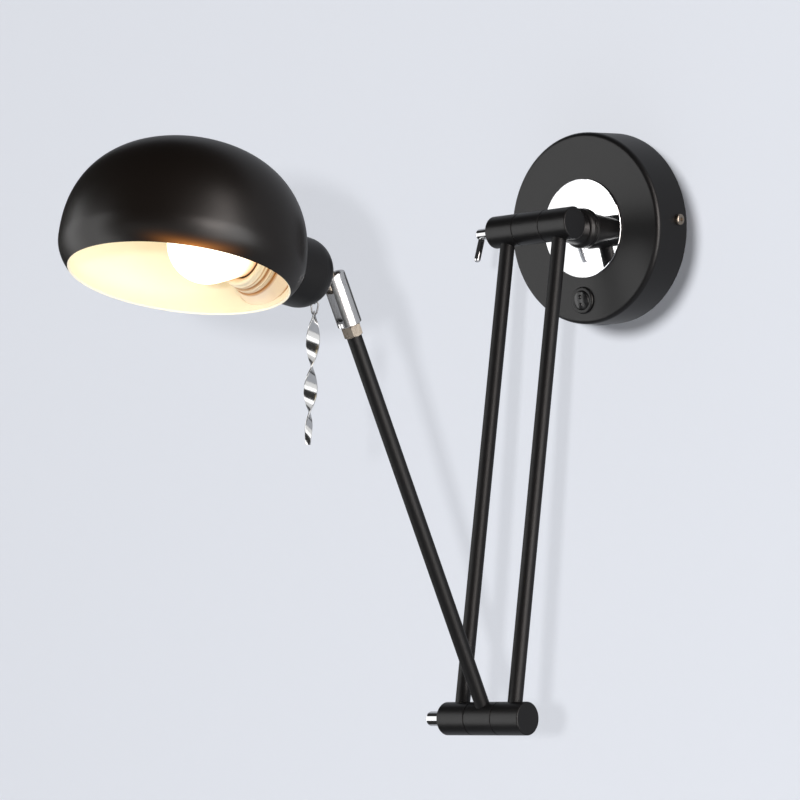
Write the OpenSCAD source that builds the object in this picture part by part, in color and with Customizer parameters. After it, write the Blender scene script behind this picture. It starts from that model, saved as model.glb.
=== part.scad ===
// Swing arm wall lamp. A round wall plate carries a neck, a fork of two rods, a forearm of
// one rod, and a tilting head whose dome shade is held from its side.
// The origin is on the wall, in the middle of the plate. +Z is up, and the lamp reaches
// out from the wall along -Y. The rest pose is a half folded arm with the shade in front.

/* [Wall plate] */
// Outer diameter of the wall plate
plate_d = 120; // [110:1:160]
// Depth of the wall plate, from the wall to its front face
plate_depth = 28; // [26:0.5:40]
// Sheet thickness of the wall plate
plate_wall = 1.5; // [1:0.1:2.5]
// Rounding of the front edge of the plate
plate_edge_r = 3; // [1.5:0.5:5]
// Diameter of the polished disc
disc_d = 62; // [54:1:70]
// Thickness of the polished disc
disc_t = 1.2; // [0.8:0.1:2]
// Distance of the two wall screws from each other
wall_screw_pitch = 60; // [54:1:76]
// Diameter of the wall screw holes
wall_screw_hole_d = 4.5; // [3.5:0.1:5.5]
// Thickness of the bracket strap
strap_t = 1.5; // [1.2:0.1:2.5]
// Height of the bracket strap
strap_h = 20; // [16:1:26]
// Height of the two side screws above the middle of the plate
side_screw_z = 5; // [0:0.5:6]
// Distance of the side screws from the wall
side_screw_out = 8; // [7:0.5:11]
// Diameter of the side screw heads
side_screw_head_d = 7; // [6:0.5:8.5]
// Diameter of the side screw shanks
side_screw_d = 4; // [3:0.5:5]

/* [Switch] */
// Distance of the switch's middle from the lower edge of the plate
switch_inset = 15; // [13:0.5:17]
// Diameter of the switch bezel
switch_bezel_d = 17; // [15:0.5:19]
// Height of the switch bezel above the plate
switch_bezel_h = 1.6; // [1:0.1:2.5]
// Diameter of the switch housing behind the plate
switch_housing_d = 14.6; // [13.8:0.1:14.8]
// Diameter of the rocker
rocker_d = 12; // [10:0.5:12.5]
// Throw of the rocker from one side to the other, in degrees
rocker_throw = 16; // [10:1:20]

/* [Neck] */
// Distance from the disc to the middle of the shoulder knuckle
neck_len = 45.3; // [36:0.1:70]
// Diameter of the neck's foot on the disc
neck_foot_d = 25; // [22:0.5:32]
// Height of the neck's foot
neck_foot_h = 5; // [4:0.5:8]
// Diameter of the neck where it meets the knuckle
neck_tip_d = 11; // [10:0.5:14]
// Diameter of the threaded tube that passes through the plate
neck_tube_d = 10; // [9:0.5:12]
// Bore for the leads along the neck
neck_bore_d = 5; // [3:0.5:5]

/* [Knuckles] */
// Diameter of the knuckles
knuckle_d = 20; // [18:0.5:26]
// Length of each outer section of a knuckle
section_len = 21.5; // [18:0.5:30]
// Length of the middle section of a knuckle
barrel_len = 21; // [18:0.5:30]
// Thickness of the friction washers between the sections
friction_washer_t = 0.4; // [0.3:0.1:1]
// Diameter of the clamp studs
bolt_d = 5; // [4.5:0.5:6]
// Diameter of the shoulder's clamp nut
shoulder_nut_d = 6.8; // [6.5:0.1:9]
// Diameter of the elbow's clamp nut
elbow_nut_d = 8.8; // [7:0.1:10]
// Length of the clamp nuts
clamp_nut_len = 13.5; // [11:0.5:18]
// Diameter of the clamp lever's finger
lever_d = 4; // [3.4:0.1:4.4]
// Reach of the clamp lever from the stud's axis to its tip
lever_reach = 18.9; // [14:0.1:24]

/* [Arms] */
// Diameter of the arm rods
rod_d = 9; // [8:0.5:10]
// Wall of the arm rods, which are tubes
rod_wall = 1; // [0.8:0.1:2]
// Depth of the rod seats in the knuckles
rod_seat = 5; // [4:0.5:5.5]
// Distance between the two fork rods, middle to middle
fork_gauge = 42; // [40:0.5:46]
// Distance from the shoulder axis to the elbow axis
fork_len = 304; // [200:1:420]
// Distance from the elbow axis to the tilt pin
forearm_len = 282; // [180:1:400]

/* [Clevis] */
// Diameter of the clevis
clevis_d = 14.5; // [13:0.5:17]
// Length of the clevis from its foot to the tilt pin
clevis_len = 26; // [20:0.5:36]
// Width of the clevis slot
slot_w = 5; // [4:0.1:6]
// Thickness of the clevis below its slot
clevis_foot = 3; // [2.5:0.5:8]
// Rounding of the ends of its ears
clevis_round = 3; // [1:0.5:4]
// Diameter of the tilt pin
tilt_pin_d = 4; // [3:0.5:5]
// Width across the flats of the lock nut
lock_nut_af = 11; // [10:0.5:13]
// Height of the lock nut
lock_nut_h = 7; // [5:0.5:9]
// Diameter of the threaded stud at the top of the forearm
stud_d = 6; // [5:0.5:6.5]

/* [Head] */
// Distance from the tilt pin to the round end of the cup
tongue_len = 11.4; // [10:0.1:16]
// Diameter of the socket cup
cup_d = 41; // [40:0.5:50]
// Length of the cup from its round end to the shade wall
cup_len = 40; // [34:0.5:54]
// Length of the round end of the cup
cup_dome = 18; // [14:0.5:22]
// Sheet thickness of the cup
cup_wall = 1.2; // [0.8:0.1:1.5]
// Diameter of the threaded nipple between tongue and lamp holder
nipple_d = 10; // [8:0.5:11]

/* [Shade] */
// Largest outer diameter of the shade
shade_d = 137.6; // [120:0.2:180]
// Height of the dome above its widest line
shade_rise = 61.6; // [50:0.2:84]
// Fullness of the dome: 2 is an ellipse, more is squarer
shade_fullness = 2.3; // [2:0.02:2.8]
// How far the mouth is drawn in all round
mouth_draw = 7; // [1:0.1:14]
// Depth of the rounding that draws the mouth in
mouth_curl = 35.6; // [20:0.2:44]
// Sheet thickness of the shade
shade_wall = 1.2; // [0.8:0.1:2]
// Height of the socket axis above the widest line of the shade
socket_rise = 9; // [7:0.1:16]

/* [Lamp holder and bulb] */
// Outer diameter of the lamp holder
holder_d = 37.6; // [36:0.2:38]
// Diameter of the threaded sleeve's bore
sleeve_bore_d = 26.8; // [26.6:0.1:27.4]
// Length of the lamp holder beyond the shade wall
holder_reach = 25.2; // [22:0.2:32]
// Diameter of the shade ring where it meets the shade
shade_ring_d = 52; // [48:1:54]
// Diameter of the shade ring at its front
shade_ring_front_d = 43; // [42:0.5:44]
// Diameter of the bulb's globe
bulb_d = 45; // [40:1:48]
// Diameter of the bulb's screw cap
cap_d = 26.2; // [25.8:0.1:26.4]
// Distance from the rim of the cap to the middle of the globe
bulb_neck = 27.5; // [25:0.5:34]
// Thickness of the bulb's glass
bulb_glass_t = 0.9; // [0.6:0.1:1.5]

/* [Pendant] */
// Length of the twisted drop
twist_len = 77; // [50:1:100]
// Width of its strip
twist_w = 7.9; // [6:0.1:11]
// Thickness of its strip
twist_t = 1.6; // [1.4:0.1:3]
// Length of its first half turn
twist_half_turn = 32.1; // [24:0.1:45]
// How much the twist tightens towards the foot: 1 is even
twist_tightening = 1.15; // [1:0.01:1.3]
// Diameter of the pendant's wires
wire_d = 1; // [0.7:0.1:1.1]
// Direction in which the link faces, about the vertical
pendant_turn = 43; // [0:1:180]
// Lean of the hanging pendant, about the direction in which it faces
pendant_lean = 3; // [-10:0.5:10]

/* [Rest pose] */
// Turn of the neck in the plate, about the wall's normal
neck_turn = 5; // [-30:1:30]
// Lean of the fork away from the wall
fork_lean = 14; // [0:1:60]
// Lean of the forearm away from the wall
forearm_lean = 22; // [14:1:80]
// Rise of the socket axis above level
head_lift = 12.4; // [-20:0.1:40]
// Lean of the shade's axis back towards the wall
shade_lean = 17.5; // [0:0.1:40]
// Turn of the shade about the socket axis
shade_roll = 2.9; // [-20:0.1:20]
// Direction of the shoulder lever below level, away from the wall
shoulder_lever_turn = 67; // [0:1:90]
// Direction of the elbow lever below level, towards the wall
elbow_lever_turn = 5; // [0:1:60]

/* [Fits] */
// Radial clearance of turning fits
run_clear = 0.05; // [0.02:0.01:0.1]
// Gap between seated pieces of one assembly
seat_gap = 0.05; // [0.02:0.01:0.2]
// Gap beside faces that slide on each other
side_gap = 0.06; // [0.04:0.01:0.2]
// Clearance of pieces that pass through sheet metal
pass_clear = 0.2; // [0.1:0.05:0.4]

/* [Hidden] */
$fn = 64;

paint = [0.07, 0.07, 0.075];
chrome = [0.86, 0.87, 0.89];
nickel = [0.72, 0.68, 0.62];
brass = [0.80, 0.63, 0.32];
zinc = [0.66, 0.68, 0.70];
plastic = [0.10, 0.10, 0.11];
ivory = [0.93, 0.89, 0.80];

// Wall plate
plate_r = plate_d / 2;
disc_front = plate_depth + disc_t;
bush_sleeve_r = neck_tube_d / 2 + 2;
bush_flange_r = neck_tube_d / 2 + 5.5;
bush_flange_t = 1.2;
bush_back = plate_depth - plate_wall - bush_flange_t;
ear_reach = side_screw_out + 6;
ear_x = sqrt(pow(plate_r - plate_wall, 2) - pow(strap_h / 2, 2)) - 0.6;
side_screw_len = 10;
side_screw_recess_r = 1.3;
terminal_len = 26;
terminal_h = 12;
terminal_deep = 11;
terminal_ways = 3;
terminal_pitch = 8;
earth_x = wall_screw_pitch / 2 - 12;
earth_screw_r = 2;

// Switch
switch_drop = plate_r - switch_inset;
switch_depth = 13;
switch_cavity_r = rocker_d / 2 + 0.25;
rocker_lift = 0.8;
rocker_pivot_out = plate_depth + switch_bezel_h - 0.6 - rocker_lift;
rocker_pin_r = 0.7;
rocker_pin_end = switch_cavity_r + 0.7;
tab_w = 4.8;
tab_t = 0.8;
tab_len = 6;

// Neck
shoulder_out = disc_front + neck_len;
washer_t = 1.2;
washer_r = neck_tube_d / 2 + 4.2;
neck_nut_af = neck_tube_d + 6;
neck_nut_t = 4;
neck_tube_end = bush_back - side_gap - washer_t - neck_nut_t - 1.5;

// Knuckles, measured along the knuckle from its middle
knuckle_r = knuckle_d / 2;
bolt_r = bolt_d / 2;
barrel_half = barrel_len / 2;
washer_in = barrel_half + side_gap;
section_in = washer_in + friction_washer_t;
section_out = section_in + section_len;
washer_face_r = knuckle_r - 0.5;
bolt_thread = 14;
bolt_end = section_in + bolt_thread;
clamp_nut_at = section_out + seat_gap;
lever_at = clamp_nut_at + clamp_nut_len - 3.2;
stud_end_r = bolt_r - 0.5;
stud_grip = clamp_nut_len - 6;
lever_spigot_r = lever_d / 2 - 0.4;
spigot_back = -2.8;
nut_round = 0.9;
section_edge = 0.8;
border_edge = 0.25;

// Arms
rod_r = rod_d / 2;
rod_bore_r = rod_r - rod_wall;
seat_floor = knuckle_r - rod_seat;
clevis_start = forearm_len - clevis_len;
nut_start = clevis_start - lock_nut_h;
clevis_r = clevis_d / 2;
slot_floor = clevis_start + clevis_foot;
stud_r = stud_d / 2;

// Head, measured from the tilt pin along the socket axis
tongue_t = slot_w - 2 * 0.15;
tongue_r = clevis_r - 1;
cup_r = cup_d / 2;
wall_at = tongue_len + cup_len;
shade_r = shade_d / 2;
shade_reach = wall_at + shade_r;
shade_tip = shade_lean - head_lift;
mouth_drop = mouth_curl * sin(acos(1 - mouth_draw / shade_r));
nipple_r = nipple_d / 2;
nipple_bore_r = nipple_r - 2;
tongue_nut_t = 2.4;
tongue_nut_af = nipple_d + 5;
tongue_nut_at = tongue_len + cup_wall + seat_gap + dome_depth(tongue_nut_af / 2 / cos(30),
    cup_dome - cup_wall, cup_r - cup_wall);
holder_start = tongue_nut_at + tongue_nut_t + 1.8;
holder_seat = 6;
holder_r = holder_d / 2;
holder_end = wall_at + holder_reach;
holder_waist_r = nipple_r + 4.5;
holder_lip_r = holder_r - 0.8;
holder_lip_len = 2.6;
sleeve_t = 0.6;
sleeve_r = sleeve_bore_d / 2 + sleeve_t;
holder_bore_r = sleeve_r + seat_gap;
cap_len = 24;
cap_tip = 3.4;
cap_rim = holder_end - 1.6;
cap_start = cap_rim - cap_len;
holder_floor = cap_start - cap_tip - 3.2;
ring_bore_r = holder_r + seat_gap;
ring_back = 6;
ring_edge = 5.4;
ring_end = wall_at + 14;
ring_nut_t = 4.4;
ring_nut_r = holder_r + 1.5;
holder_hole_r = holder_r + pass_clear;
bulb_r = bulb_d / 2;
bulb_at = cap_rim + bulb_neck;
bulb_foot_r = cap_d / 2 - 0.3;

// Pendant. Distances down from the eye's middle to the link and the twisted drop
wire_r = wire_d / 2;
eye_back = 4;
eye_hole_r = 1.3;
eye_ring_r = eye_hole_r + wire_r;
eye_out = 0.7;
link_top_r = 2;
link_foot_r = 1.45;
link_span = 3.8;
eye_play = 0.12;
link_drop = eye_hole_r - wire_r - eye_play;
twist_hole_r = 1;
twist_hole_at = 2.2;
hook_drop = link_drop + link_top_r + link_span + link_foot_r;
hole_play = 0.3;
twist_top = hook_drop - wire_r - hole_play + twist_hole_r - twist_hole_at;
twist_tip_w = 3.6;
twist_tip_t = 1.1;
twist_end_w = 3.6;
twist_rings = 44;
twist_sides = 8;

// Places of the elbow, the tilt pin and the pendant's eye: distance out from the shoulder
// axis, and height above it
elbow_place = fork_len * [sin(fork_lean), -cos(fork_lean)];
pin_place = elbow_place + forearm_len * [sin(forearm_lean), cos(forearm_lean)];
eye_radius = dome_radius(eye_back, cup_dome, cup_r) + eye_out;
eye_place = pin_place + (tongue_len + eye_back) * [cos(head_lift), sin(head_lift)]
    + eye_radius * [sin(head_lift), -cos(head_lift)];

// Points of an arc about a middle, from one angle to another
function arc(middle, r, from, to, steps = 8) =
    [for (i = [0:steps]) middle + r * [cos(from + (to - from) * i / steps),
        sin(from + (to - from) * i / steps)]];

// Radius of a half-ellipse dome at a distance behind its tip
function dome_radius(back, len, r) = r * sqrt(1 - pow(1 - min(back, len) / len, 2));

// Distance behind the tip at which a half-ellipse dome has a given radius
function dome_depth(at_r, len, r) = len * (1 - sqrt(1 - pow(at_r / r, 2)));

// Outline of a half-ellipse dome that starts at a distance and runs along the axis
function dome_outline(start, len, r, steps = 16) =
    [for (i = [0:steps]) [r * sin(90 * i / steps), start + len * (1 - cos(90 * i / steps))]];

// Outline of the shade from its top down to its mouth, drawn in by a wall thickness
function shade_outline(inset, steps = 22, curl_steps = 6) =
    let (r = shade_r - inset, rise = shade_rise - inset, power = 2 / shade_fullness,
        curl_angle = asin(mouth_drop / mouth_curl))
    concat([for (i = [0:steps]) let (a = 90 * i / steps)
            [r * pow(sin(a), power), rise * pow(cos(a), power)]],
        [for (i = [1:curl_steps]) let (a = curl_angle * i / curl_steps)
            [shade_r * cos(a) - inset, -mouth_curl * sin(a)]]);

// Frames
module off_wall() {
    rotate([90, 0, 0]) children();
}

module at_shoulder() {
    translate([0, -shoulder_out, 0]) rotate([0, -neck_turn, 0]) children();
}

module at_fork() {
    at_shoulder() rotate([-fork_lean, 0, 0]) children();
}

module at_fork_elbow() {
    at_fork() translate([0, 0, -fork_len]) children();
}

module at_forearm() {
    at_fork_elbow() rotate([fork_lean + forearm_lean, 0, 0]) children();
}

module at_pin() {
    at_forearm() translate([0, 0, forearm_len]) rotate([-forearm_lean - head_lift, 0, 0])
        children();
}

module along_socket() {
    at_pin() rotate([90, 0, 0]) children();
}

// From the tilt pin to the middle of the shade's widest line
module to_shade() {
    rotate([0, -shade_roll, 0]) translate([0, -shade_reach, 0]) rotate([-shade_tip, 0, 0])
        translate([0, 0, -socket_rise]) children();
}

module at_eye() {
    translate([-eye_place[1] * sin(neck_turn), -shoulder_out - eye_place[0],
        eye_place[1] * cos(neck_turn)]) rotate([0, 0, pendant_turn]) children();
}

// The link and the twisted drop hang from the lowest point of the eye
module at_pendant() {
    at_eye() translate([0, 0, -eye_ring_r]) rotate([0, pendant_lean, 0])
        translate([0, 0, eye_ring_r]) children();
}

// Solids that repeat
module bar(r, from, to) {
    translate([from, 0, 0]) rotate([0, 90, 0]) cylinder(r = r, h = to - from);
}

module disc_at(r, from, to) {
    translate([0, 0, from]) cylinder(r = r, h = to - from);
}

module hex_nut(af, from, to, bore_r) {
    difference() {
        translate([0, 0, from]) cylinder(r = af / 2 / cos(30), h = to - from, $fn = 6);
        disc_at(bore_r, from - 1, to + 1);
    }
}

// A turned section of a knuckle, rounded at its outer end and just broken at its border
module turned_section(from, to, outer_edge, inner_edge) {
    translate([from, 0, 0]) rotate([0, 90, 0]) rotate_extrude()
        polygon(concat([[0, 0]],
            arc([knuckle_r - inner_edge, inner_edge], inner_edge, -90, 0, 3),
            arc([knuckle_r - outer_edge, to - from - outer_edge], outer_edge, 0, 90, 5),
            [[0, to - from]]));
}

// Seat of a rod in a knuckle, opening along +Z at a place along the knuckle
module rod_seat_hole(along) {
    translate([along, 0, seat_floor]) cylinder(r = rod_r + seat_gap, h = knuckle_r);
}

module lead_hole(along) {
    translate([along, 0, 0]) cylinder(r = rod_bore_r - 0.6, h = knuckle_r);
}

module knuckle_left() {
    difference() {
        mirror([1, 0, 0]) turned_section(section_in, section_out, section_edge, border_edge);
        bar(bolt_r + run_clear, -section_out - 1, -section_in + 1);
        rod_seat_hole(-fork_gauge / 2);
    }
}

module knuckle_right() {
    difference() {
        turned_section(section_in, section_out, section_edge, border_edge);
        bar(bolt_r + run_clear, section_in - 1, bolt_end + 0.5);
        rod_seat_hole(fork_gauge / 2);
    }
}

module knuckle_barrel() {
    difference() {
        turned_section(-barrel_half, barrel_half, border_edge, border_edge);
        bar(bolt_r + run_clear, -barrel_half - 1, barrel_half + 1);
    }
}

module friction_washer_pair() {
    for (side = [0, 1]) mirror([side, 0, 0]) difference() {
        bar(washer_face_r, washer_in, section_in);
        bar(bolt_r + run_clear, washer_in - 1, section_in + 1);
    }
}

// Tube between two seats, along +Z
module rod_tube(along, from, to) {
    translate([along, 0, 0]) difference() {
        disc_at(rod_r, from, to);
        disc_at(rod_bore_r, from - 1, to + 1);
    }
}

// Clamp stud: held in the right section, through all three, with a thread past the left one
module clamp_stud() {
    bar(bolt_r, -section_out + 1.5, bolt_end);
    bar(stud_end_r, -clamp_nut_at - stud_grip, -section_out + 2);
}

// Long round nut with a blind thread for the stud and a cross hole for the lever
module clamp_nut(nut_d, lever_angle) {
    difference() {
        translate([-clamp_nut_at, 0, 0]) rotate([0, -90, 0]) rotate_extrude()
            polygon(concat([[0, 0], [nut_d / 2, 0]],
                arc([nut_d / 2 - nut_round, clamp_nut_len - nut_round], nut_round, 0, 90, 5),
                [[0, clamp_nut_len]]));
        bar(stud_end_r + run_clear, -clamp_nut_at - stud_grip - 0.2, 0);
        translate([-lever_at, 0, 0]) rotate([lever_angle, 0, 0])
            disc_at(lever_spigot_r + seat_gap, spigot_back, nut_d);
    }
}

module clamp_lever(nut_d, lever_angle) {
    translate([-lever_at, 0, 0]) rotate([lever_angle, 0, 0]) {
        disc_at(lever_spigot_r, spigot_back + 0.3, nut_d / 2 + 0.8);
        translate([0, 0, nut_d / 2 + seat_gap]) rotate_extrude()
            polygon(concat([[0, 0], [lever_d / 2 - 0.3, 0], [lever_d / 2, 0.5]],
                arc([0, lever_reach - nut_d / 2 - seat_gap - lever_d / 2],
                    lever_d / 2, 0, 90, 8)));
    }
}

// Wall side
module wall_bracket() {
    color(zinc) difference() {
        union() {
            translate([-ear_x, -strap_t, -strap_h / 2]) cube([2 * ear_x, strap_t, strap_h]);
            for (side = [0, 1]) mirror([side, 0, 0])
                translate([ear_x - strap_t, -ear_reach, -strap_h / 2])
                    cube([strap_t, ear_reach, strap_h]);
        }
        for (x = [-1, 1] * wall_screw_pitch / 2)
            translate([x, 1, 0]) off_wall() cylinder(d = wall_screw_hole_d, h = strap_t + 2);
        for (side = [0, 1]) mirror([side, 0, 0])
            translate([0, -side_screw_out, side_screw_z])
                bar(side_screw_d / 2 + seat_gap, ear_x - strap_t - 1, ear_x + 1);
        translate([earth_x, 1, 0]) off_wall()
            cylinder(r = earth_screw_r + seat_gap, h = strap_t + 2);
        // Slots that save metal and pass the mains leads
        for (x = [-1, 1] * (wall_screw_pitch / 2 + 12))
            translate([x, 1, 0]) off_wall() linear_extrude(strap_t + 2) square([5, 9], center = true);
    }
}

module earth_screw() {
    color(brass) translate([earth_x, 0, 0]) off_wall() difference() {
        union() {
            disc_at(earth_screw_r, 0.2, strap_t + 1);
            disc_at(earth_screw_r + 2, strap_t + seat_gap, strap_t + 2.6);
        }
        translate([0, 0, strap_t + 2.6]) cube([2 * earth_screw_r + 6, 0.9, 2], center = true);
    }
}

module terminal_block() {
    color(ivory) translate([0, -strap_t - seat_gap, 0]) off_wall() difference() {
        union() {
            translate([-terminal_len / 2, -terminal_h / 2, 0])
                cube([terminal_len, terminal_h, terminal_deep * 0.7]);
            for (i = [0:terminal_ways - 1])
                translate([(i - (terminal_ways - 1) / 2) * terminal_pitch, 0, 0])
                    cylinder(r = terminal_pitch / 2 - 0.4, h = terminal_deep);
        }
        for (i = [0:terminal_ways - 1])
            translate([(i - (terminal_ways - 1) / 2) * terminal_pitch, 0, 0]) {
                translate([0, 0, terminal_deep - 4]) cylinder(r = 2, h = 5);
                translate([0, terminal_h / 2 + 1, terminal_deep * 0.32]) rotate([90, 0, 0])
                    cylinder(r = 1.6, h = terminal_h + 2);
            }
    }
}

module wall_plate() {
    color(paint) off_wall() difference() {
        rotate_extrude($fn = 96) polygon(concat([[plate_r - plate_wall, 0], [plate_r, 0]],
            arc([plate_r - plate_edge_r, plate_depth - plate_edge_r], plate_edge_r, 0, 90),
            [[0, plate_depth], [0, plate_depth - plate_wall]],
            arc([plate_r - plate_edge_r, plate_depth - plate_edge_r],
                plate_edge_r - plate_wall * 0.8, 90, 0),
            [[plate_r - plate_wall, plate_depth - plate_edge_r]]));
        disc_at(bush_sleeve_r + seat_gap, 0, plate_depth + 1);
        translate([0, -switch_drop, 0]) disc_at(switch_housing_d / 2 + seat_gap, 0, plate_depth + 1);
        for (side = [0, 1]) mirror([side, 0, 0])
            translate([0, side_screw_z, side_screw_out])
                bar(side_screw_d / 2 + pass_clear, plate_r - 8, plate_r + 2);
    }
}

// A round head on the rim with a hexagonal recess, and a shank in the bracket's ear
module plate_side_screws() {
    seat_x = sqrt(pow(plate_r, 2) - pow(max(0, abs(side_screw_z) - side_screw_head_d / 2), 2))
        + 0.02;
    head_h = 2.2;
    color(nickel) for (side = [0, 1]) mirror([side, 0, 0])
        translate([0, -side_screw_out, side_screw_z]) difference() {
            union() {
                bar(side_screw_d / 2, seat_x - side_screw_len, seat_x + 0.5);
                translate([seat_x, 0, 0]) rotate([0, 90, 0]) rotate_extrude()
                    polygon(concat([[0, 0], [side_screw_head_d / 2, 0]],
                        arc([side_screw_head_d / 2 - 1.2, head_h - 1.2], 1.2, 0, 90, 6),
                        [[0, head_h]]));
            }
            translate([seat_x + head_h - 1.3, 0, 0]) rotate([0, 90, 0])
                cylinder(r = side_screw_recess_r, h = 2, $fn = 6);
        }
}

module rose_disc() {
    color(chrome) off_wall() difference() {
        translate([0, 0, plate_depth]) rotate_extrude($fn = 96)
            polygon(concat([[0, 0], [disc_d / 2, 0]],
                arc([disc_d / 2 - 0.5, disc_t - 0.5], 0.5, 0, 90, 4), [[0, disc_t]]));
        disc_at(bush_sleeve_r + seat_gap, plate_depth - 1, disc_front + 1);
    }
}

module neck_bush() {
    color(ivory) off_wall() difference() {
        union() {
            disc_at(bush_sleeve_r, bush_back, disc_front);
            disc_at(bush_flange_r, bush_back, plate_depth - plate_wall);
        }
        disc_at(neck_tube_d / 2 + run_clear, bush_back - 1, disc_front + 1);
    }
}

// Housing with a rounded bezel and a round well for the rocker
module switch_body() {
    color(plastic) translate([0, 0, -switch_drop]) off_wall() difference() {
        union() {
            disc_at(switch_housing_d / 2, plate_depth - switch_depth, plate_depth + 0.4);
            translate([0, 0, plate_depth]) rotate_extrude()
                polygon(concat([[0, 0], [switch_bezel_d / 2, 0]],
                    arc([switch_bezel_d / 2 - 1.1, switch_bezel_h - 1.1 < 0 ? 0 :
                        switch_bezel_h - 1.1], min(1.1, switch_bezel_h), 0, 90, 6),
                    [[0, switch_bezel_h]]));
        }
        disc_at(switch_cavity_r, plate_depth - 5, plate_depth + switch_bezel_h + 1);
        translate([0, 0, rocker_pivot_out])
            bar(rocker_pin_r + run_clear, -rocker_pin_end - 0.1, rocker_pin_end + 0.1);
        for (x = [-1, 1] * 3.4) translate([x, 0, plate_depth - switch_depth - 1])
            linear_extrude(3.5) square([tab_t + 2 * seat_gap, tab_w + 2 * seat_gap], center = true);
    }
}

module switch_tabs() {
    color(brass) translate([0, 0, -switch_drop]) off_wall()
        for (x = [-1, 1] * 3.4) translate([x, 0, plate_depth - switch_depth - tab_len])
            difference() {
                linear_extrude(tab_len + 2.3) square([tab_t, tab_w], center = true);
                translate([0, 0, 1.9]) bar(0.8, -tab_t, tab_t);
            }
}

// The rocker turns inside its well, so its side is part of a ball. Its face is two shallow
// lobes, with a small round pad on each.
module switch_rocker() {
    lobe_r = rocker_d * 0.9;
    color(plastic) translate([0, -rocker_pivot_out, -switch_drop])
        rotate([rocker_throw / 2, 0, 0]) off_wall() {
            bar(rocker_pin_r, -rocker_pin_end, rocker_pin_end);
            translate([0, 0, rocker_lift]) {
                intersection() {
                    sphere(r = rocker_d / 2);
                    union() {
                        translate([-rocker_d / 2, -rocker_d / 2, -3.2])
                            cube([rocker_d, rocker_d, 4]);
                        for (side = [-1, 1])
                            translate([0, side * rocker_d * 0.27, 2.6 - lobe_r])
                                rotate([0, 90, 0])
                                    cylinder(r = lobe_r, h = rocker_d, center = true);
                    }
                    translate([-rocker_d, -rocker_d, -3.2])
                        cube([2 * rocker_d, 2 * rocker_d, 6.2]);
                }
                for (side = [-1, 1]) translate([0, side * rocker_d * 0.2, 2.1]) sphere(r = 1);
            }
        }
}

// Neck: rounded foot, straight taper, spigot in the barrel, threaded tube through the plate
module neck_stem() {
    foot = disc_front + side_gap;
    foot_r = neck_foot_d / 2;
    color(paint) off_wall() difference() {
        union() {
            difference() {
                rotate_extrude() polygon(concat([[0, foot], [foot_r - 0.4, foot],
                    [foot_r, foot + 0.4]],
                    arc([foot_r - 3, foot + neck_foot_h - 3], 3, 0, 72, 8),
                    [[neck_tip_d / 2, shoulder_out - knuckle_r + 1],
                    [neck_tip_d / 2, shoulder_out - 2], [0, shoulder_out - 2]]));
                translate([0, 0, shoulder_out]) rotate([0, -neck_turn, 0])
                    bar(knuckle_r + 2 * seat_gap, -barrel_half - 3, barrel_half + 3);
            }
            disc_at(rod_r, foot + 1, shoulder_out - seat_floor - seat_gap);
            disc_at(neck_tube_d / 2, neck_tube_end, foot + 1);
        }
        disc_at(neck_bore_d / 2, neck_tube_end - 1, shoulder_out);
    }
}

module neck_washer() {
    color(zinc) off_wall() difference() {
        disc_at(washer_r, bush_back - side_gap - washer_t, bush_back - side_gap);
        disc_at(neck_tube_d / 2 + seat_gap, 0, bush_back + 1);
    }
}

module neck_nut() {
    nut_top = bush_back - side_gap - washer_t - seat_gap;
    color(zinc) off_wall()
        hex_nut(neck_nut_af, nut_top - neck_nut_t, nut_top, neck_tube_d / 2 + seat_gap);
}

module shoulder_barrel() {
    color(paint) at_shoulder() difference() {
        knuckle_barrel();
        rotate([-90, 0, 0]) rod_seat_hole(0);
        rotate([-90, 0, 0]) cylinder(d = neck_bore_d, h = knuckle_r);
    }
}

// Fork: the shoulder's outer sections, two tubes, and the elbow's outer sections
module shoulder_knuckle_left() {
    color(paint) at_fork() rotate([0, 180, 0]) mirror([1, 0, 0]) knuckle_left();
}

module shoulder_knuckle_right() {
    color(paint) at_fork() rotate([0, 180, 0]) mirror([1, 0, 0]) knuckle_right();
}

module shoulder_washers() {
    color(ivory) at_fork() friction_washer_pair();
}

module fork_rod_left() {
    color(paint) at_fork_elbow()
        rod_tube(-fork_gauge / 2, seat_floor + seat_gap, fork_len - seat_floor - seat_gap);
}

module fork_rod_right() {
    color(paint) at_fork_elbow()
        rod_tube(fork_gauge / 2, seat_floor + seat_gap, fork_len - seat_floor - seat_gap);
}

module elbow_knuckle_left() {
    color(paint) at_fork_elbow() knuckle_left();
}

module elbow_knuckle_right() {
    color(paint) at_fork_elbow() knuckle_right();
}

module elbow_washers() {
    color(ivory) at_fork_elbow() friction_washer_pair();
}

// Levers: their angle is measured about the knuckle from straight up
module shoulder_stud() {
    color(zinc) at_shoulder() clamp_stud();
}

module shoulder_clamp_nut() {
    color(chrome) at_shoulder() clamp_nut(shoulder_nut_d, 90 + shoulder_lever_turn);
}

module shoulder_lever() {
    color(chrome) at_shoulder() clamp_lever(shoulder_nut_d, 90 + shoulder_lever_turn);
}

module elbow_stud() {
    color(zinc) at_fork_elbow() clamp_stud();
}

module elbow_clamp_nut() {
    color(chrome) at_fork_elbow() rotate([fork_lean, 0, 0])
        clamp_nut(elbow_nut_d, -90 - elbow_lever_turn);
}

module elbow_lever() {
    color(chrome) at_fork_elbow() rotate([fork_lean, 0, 0])
        clamp_lever(elbow_nut_d, -90 - elbow_lever_turn);
}

// Forearm: the elbow's middle section, one tube with a stud, lock nut, clevis and pin
module elbow_barrel() {
    color(paint) at_forearm() difference() {
        knuckle_barrel();
        rod_seat_hole(0);
        lead_hole(0);
    }
}

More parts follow.
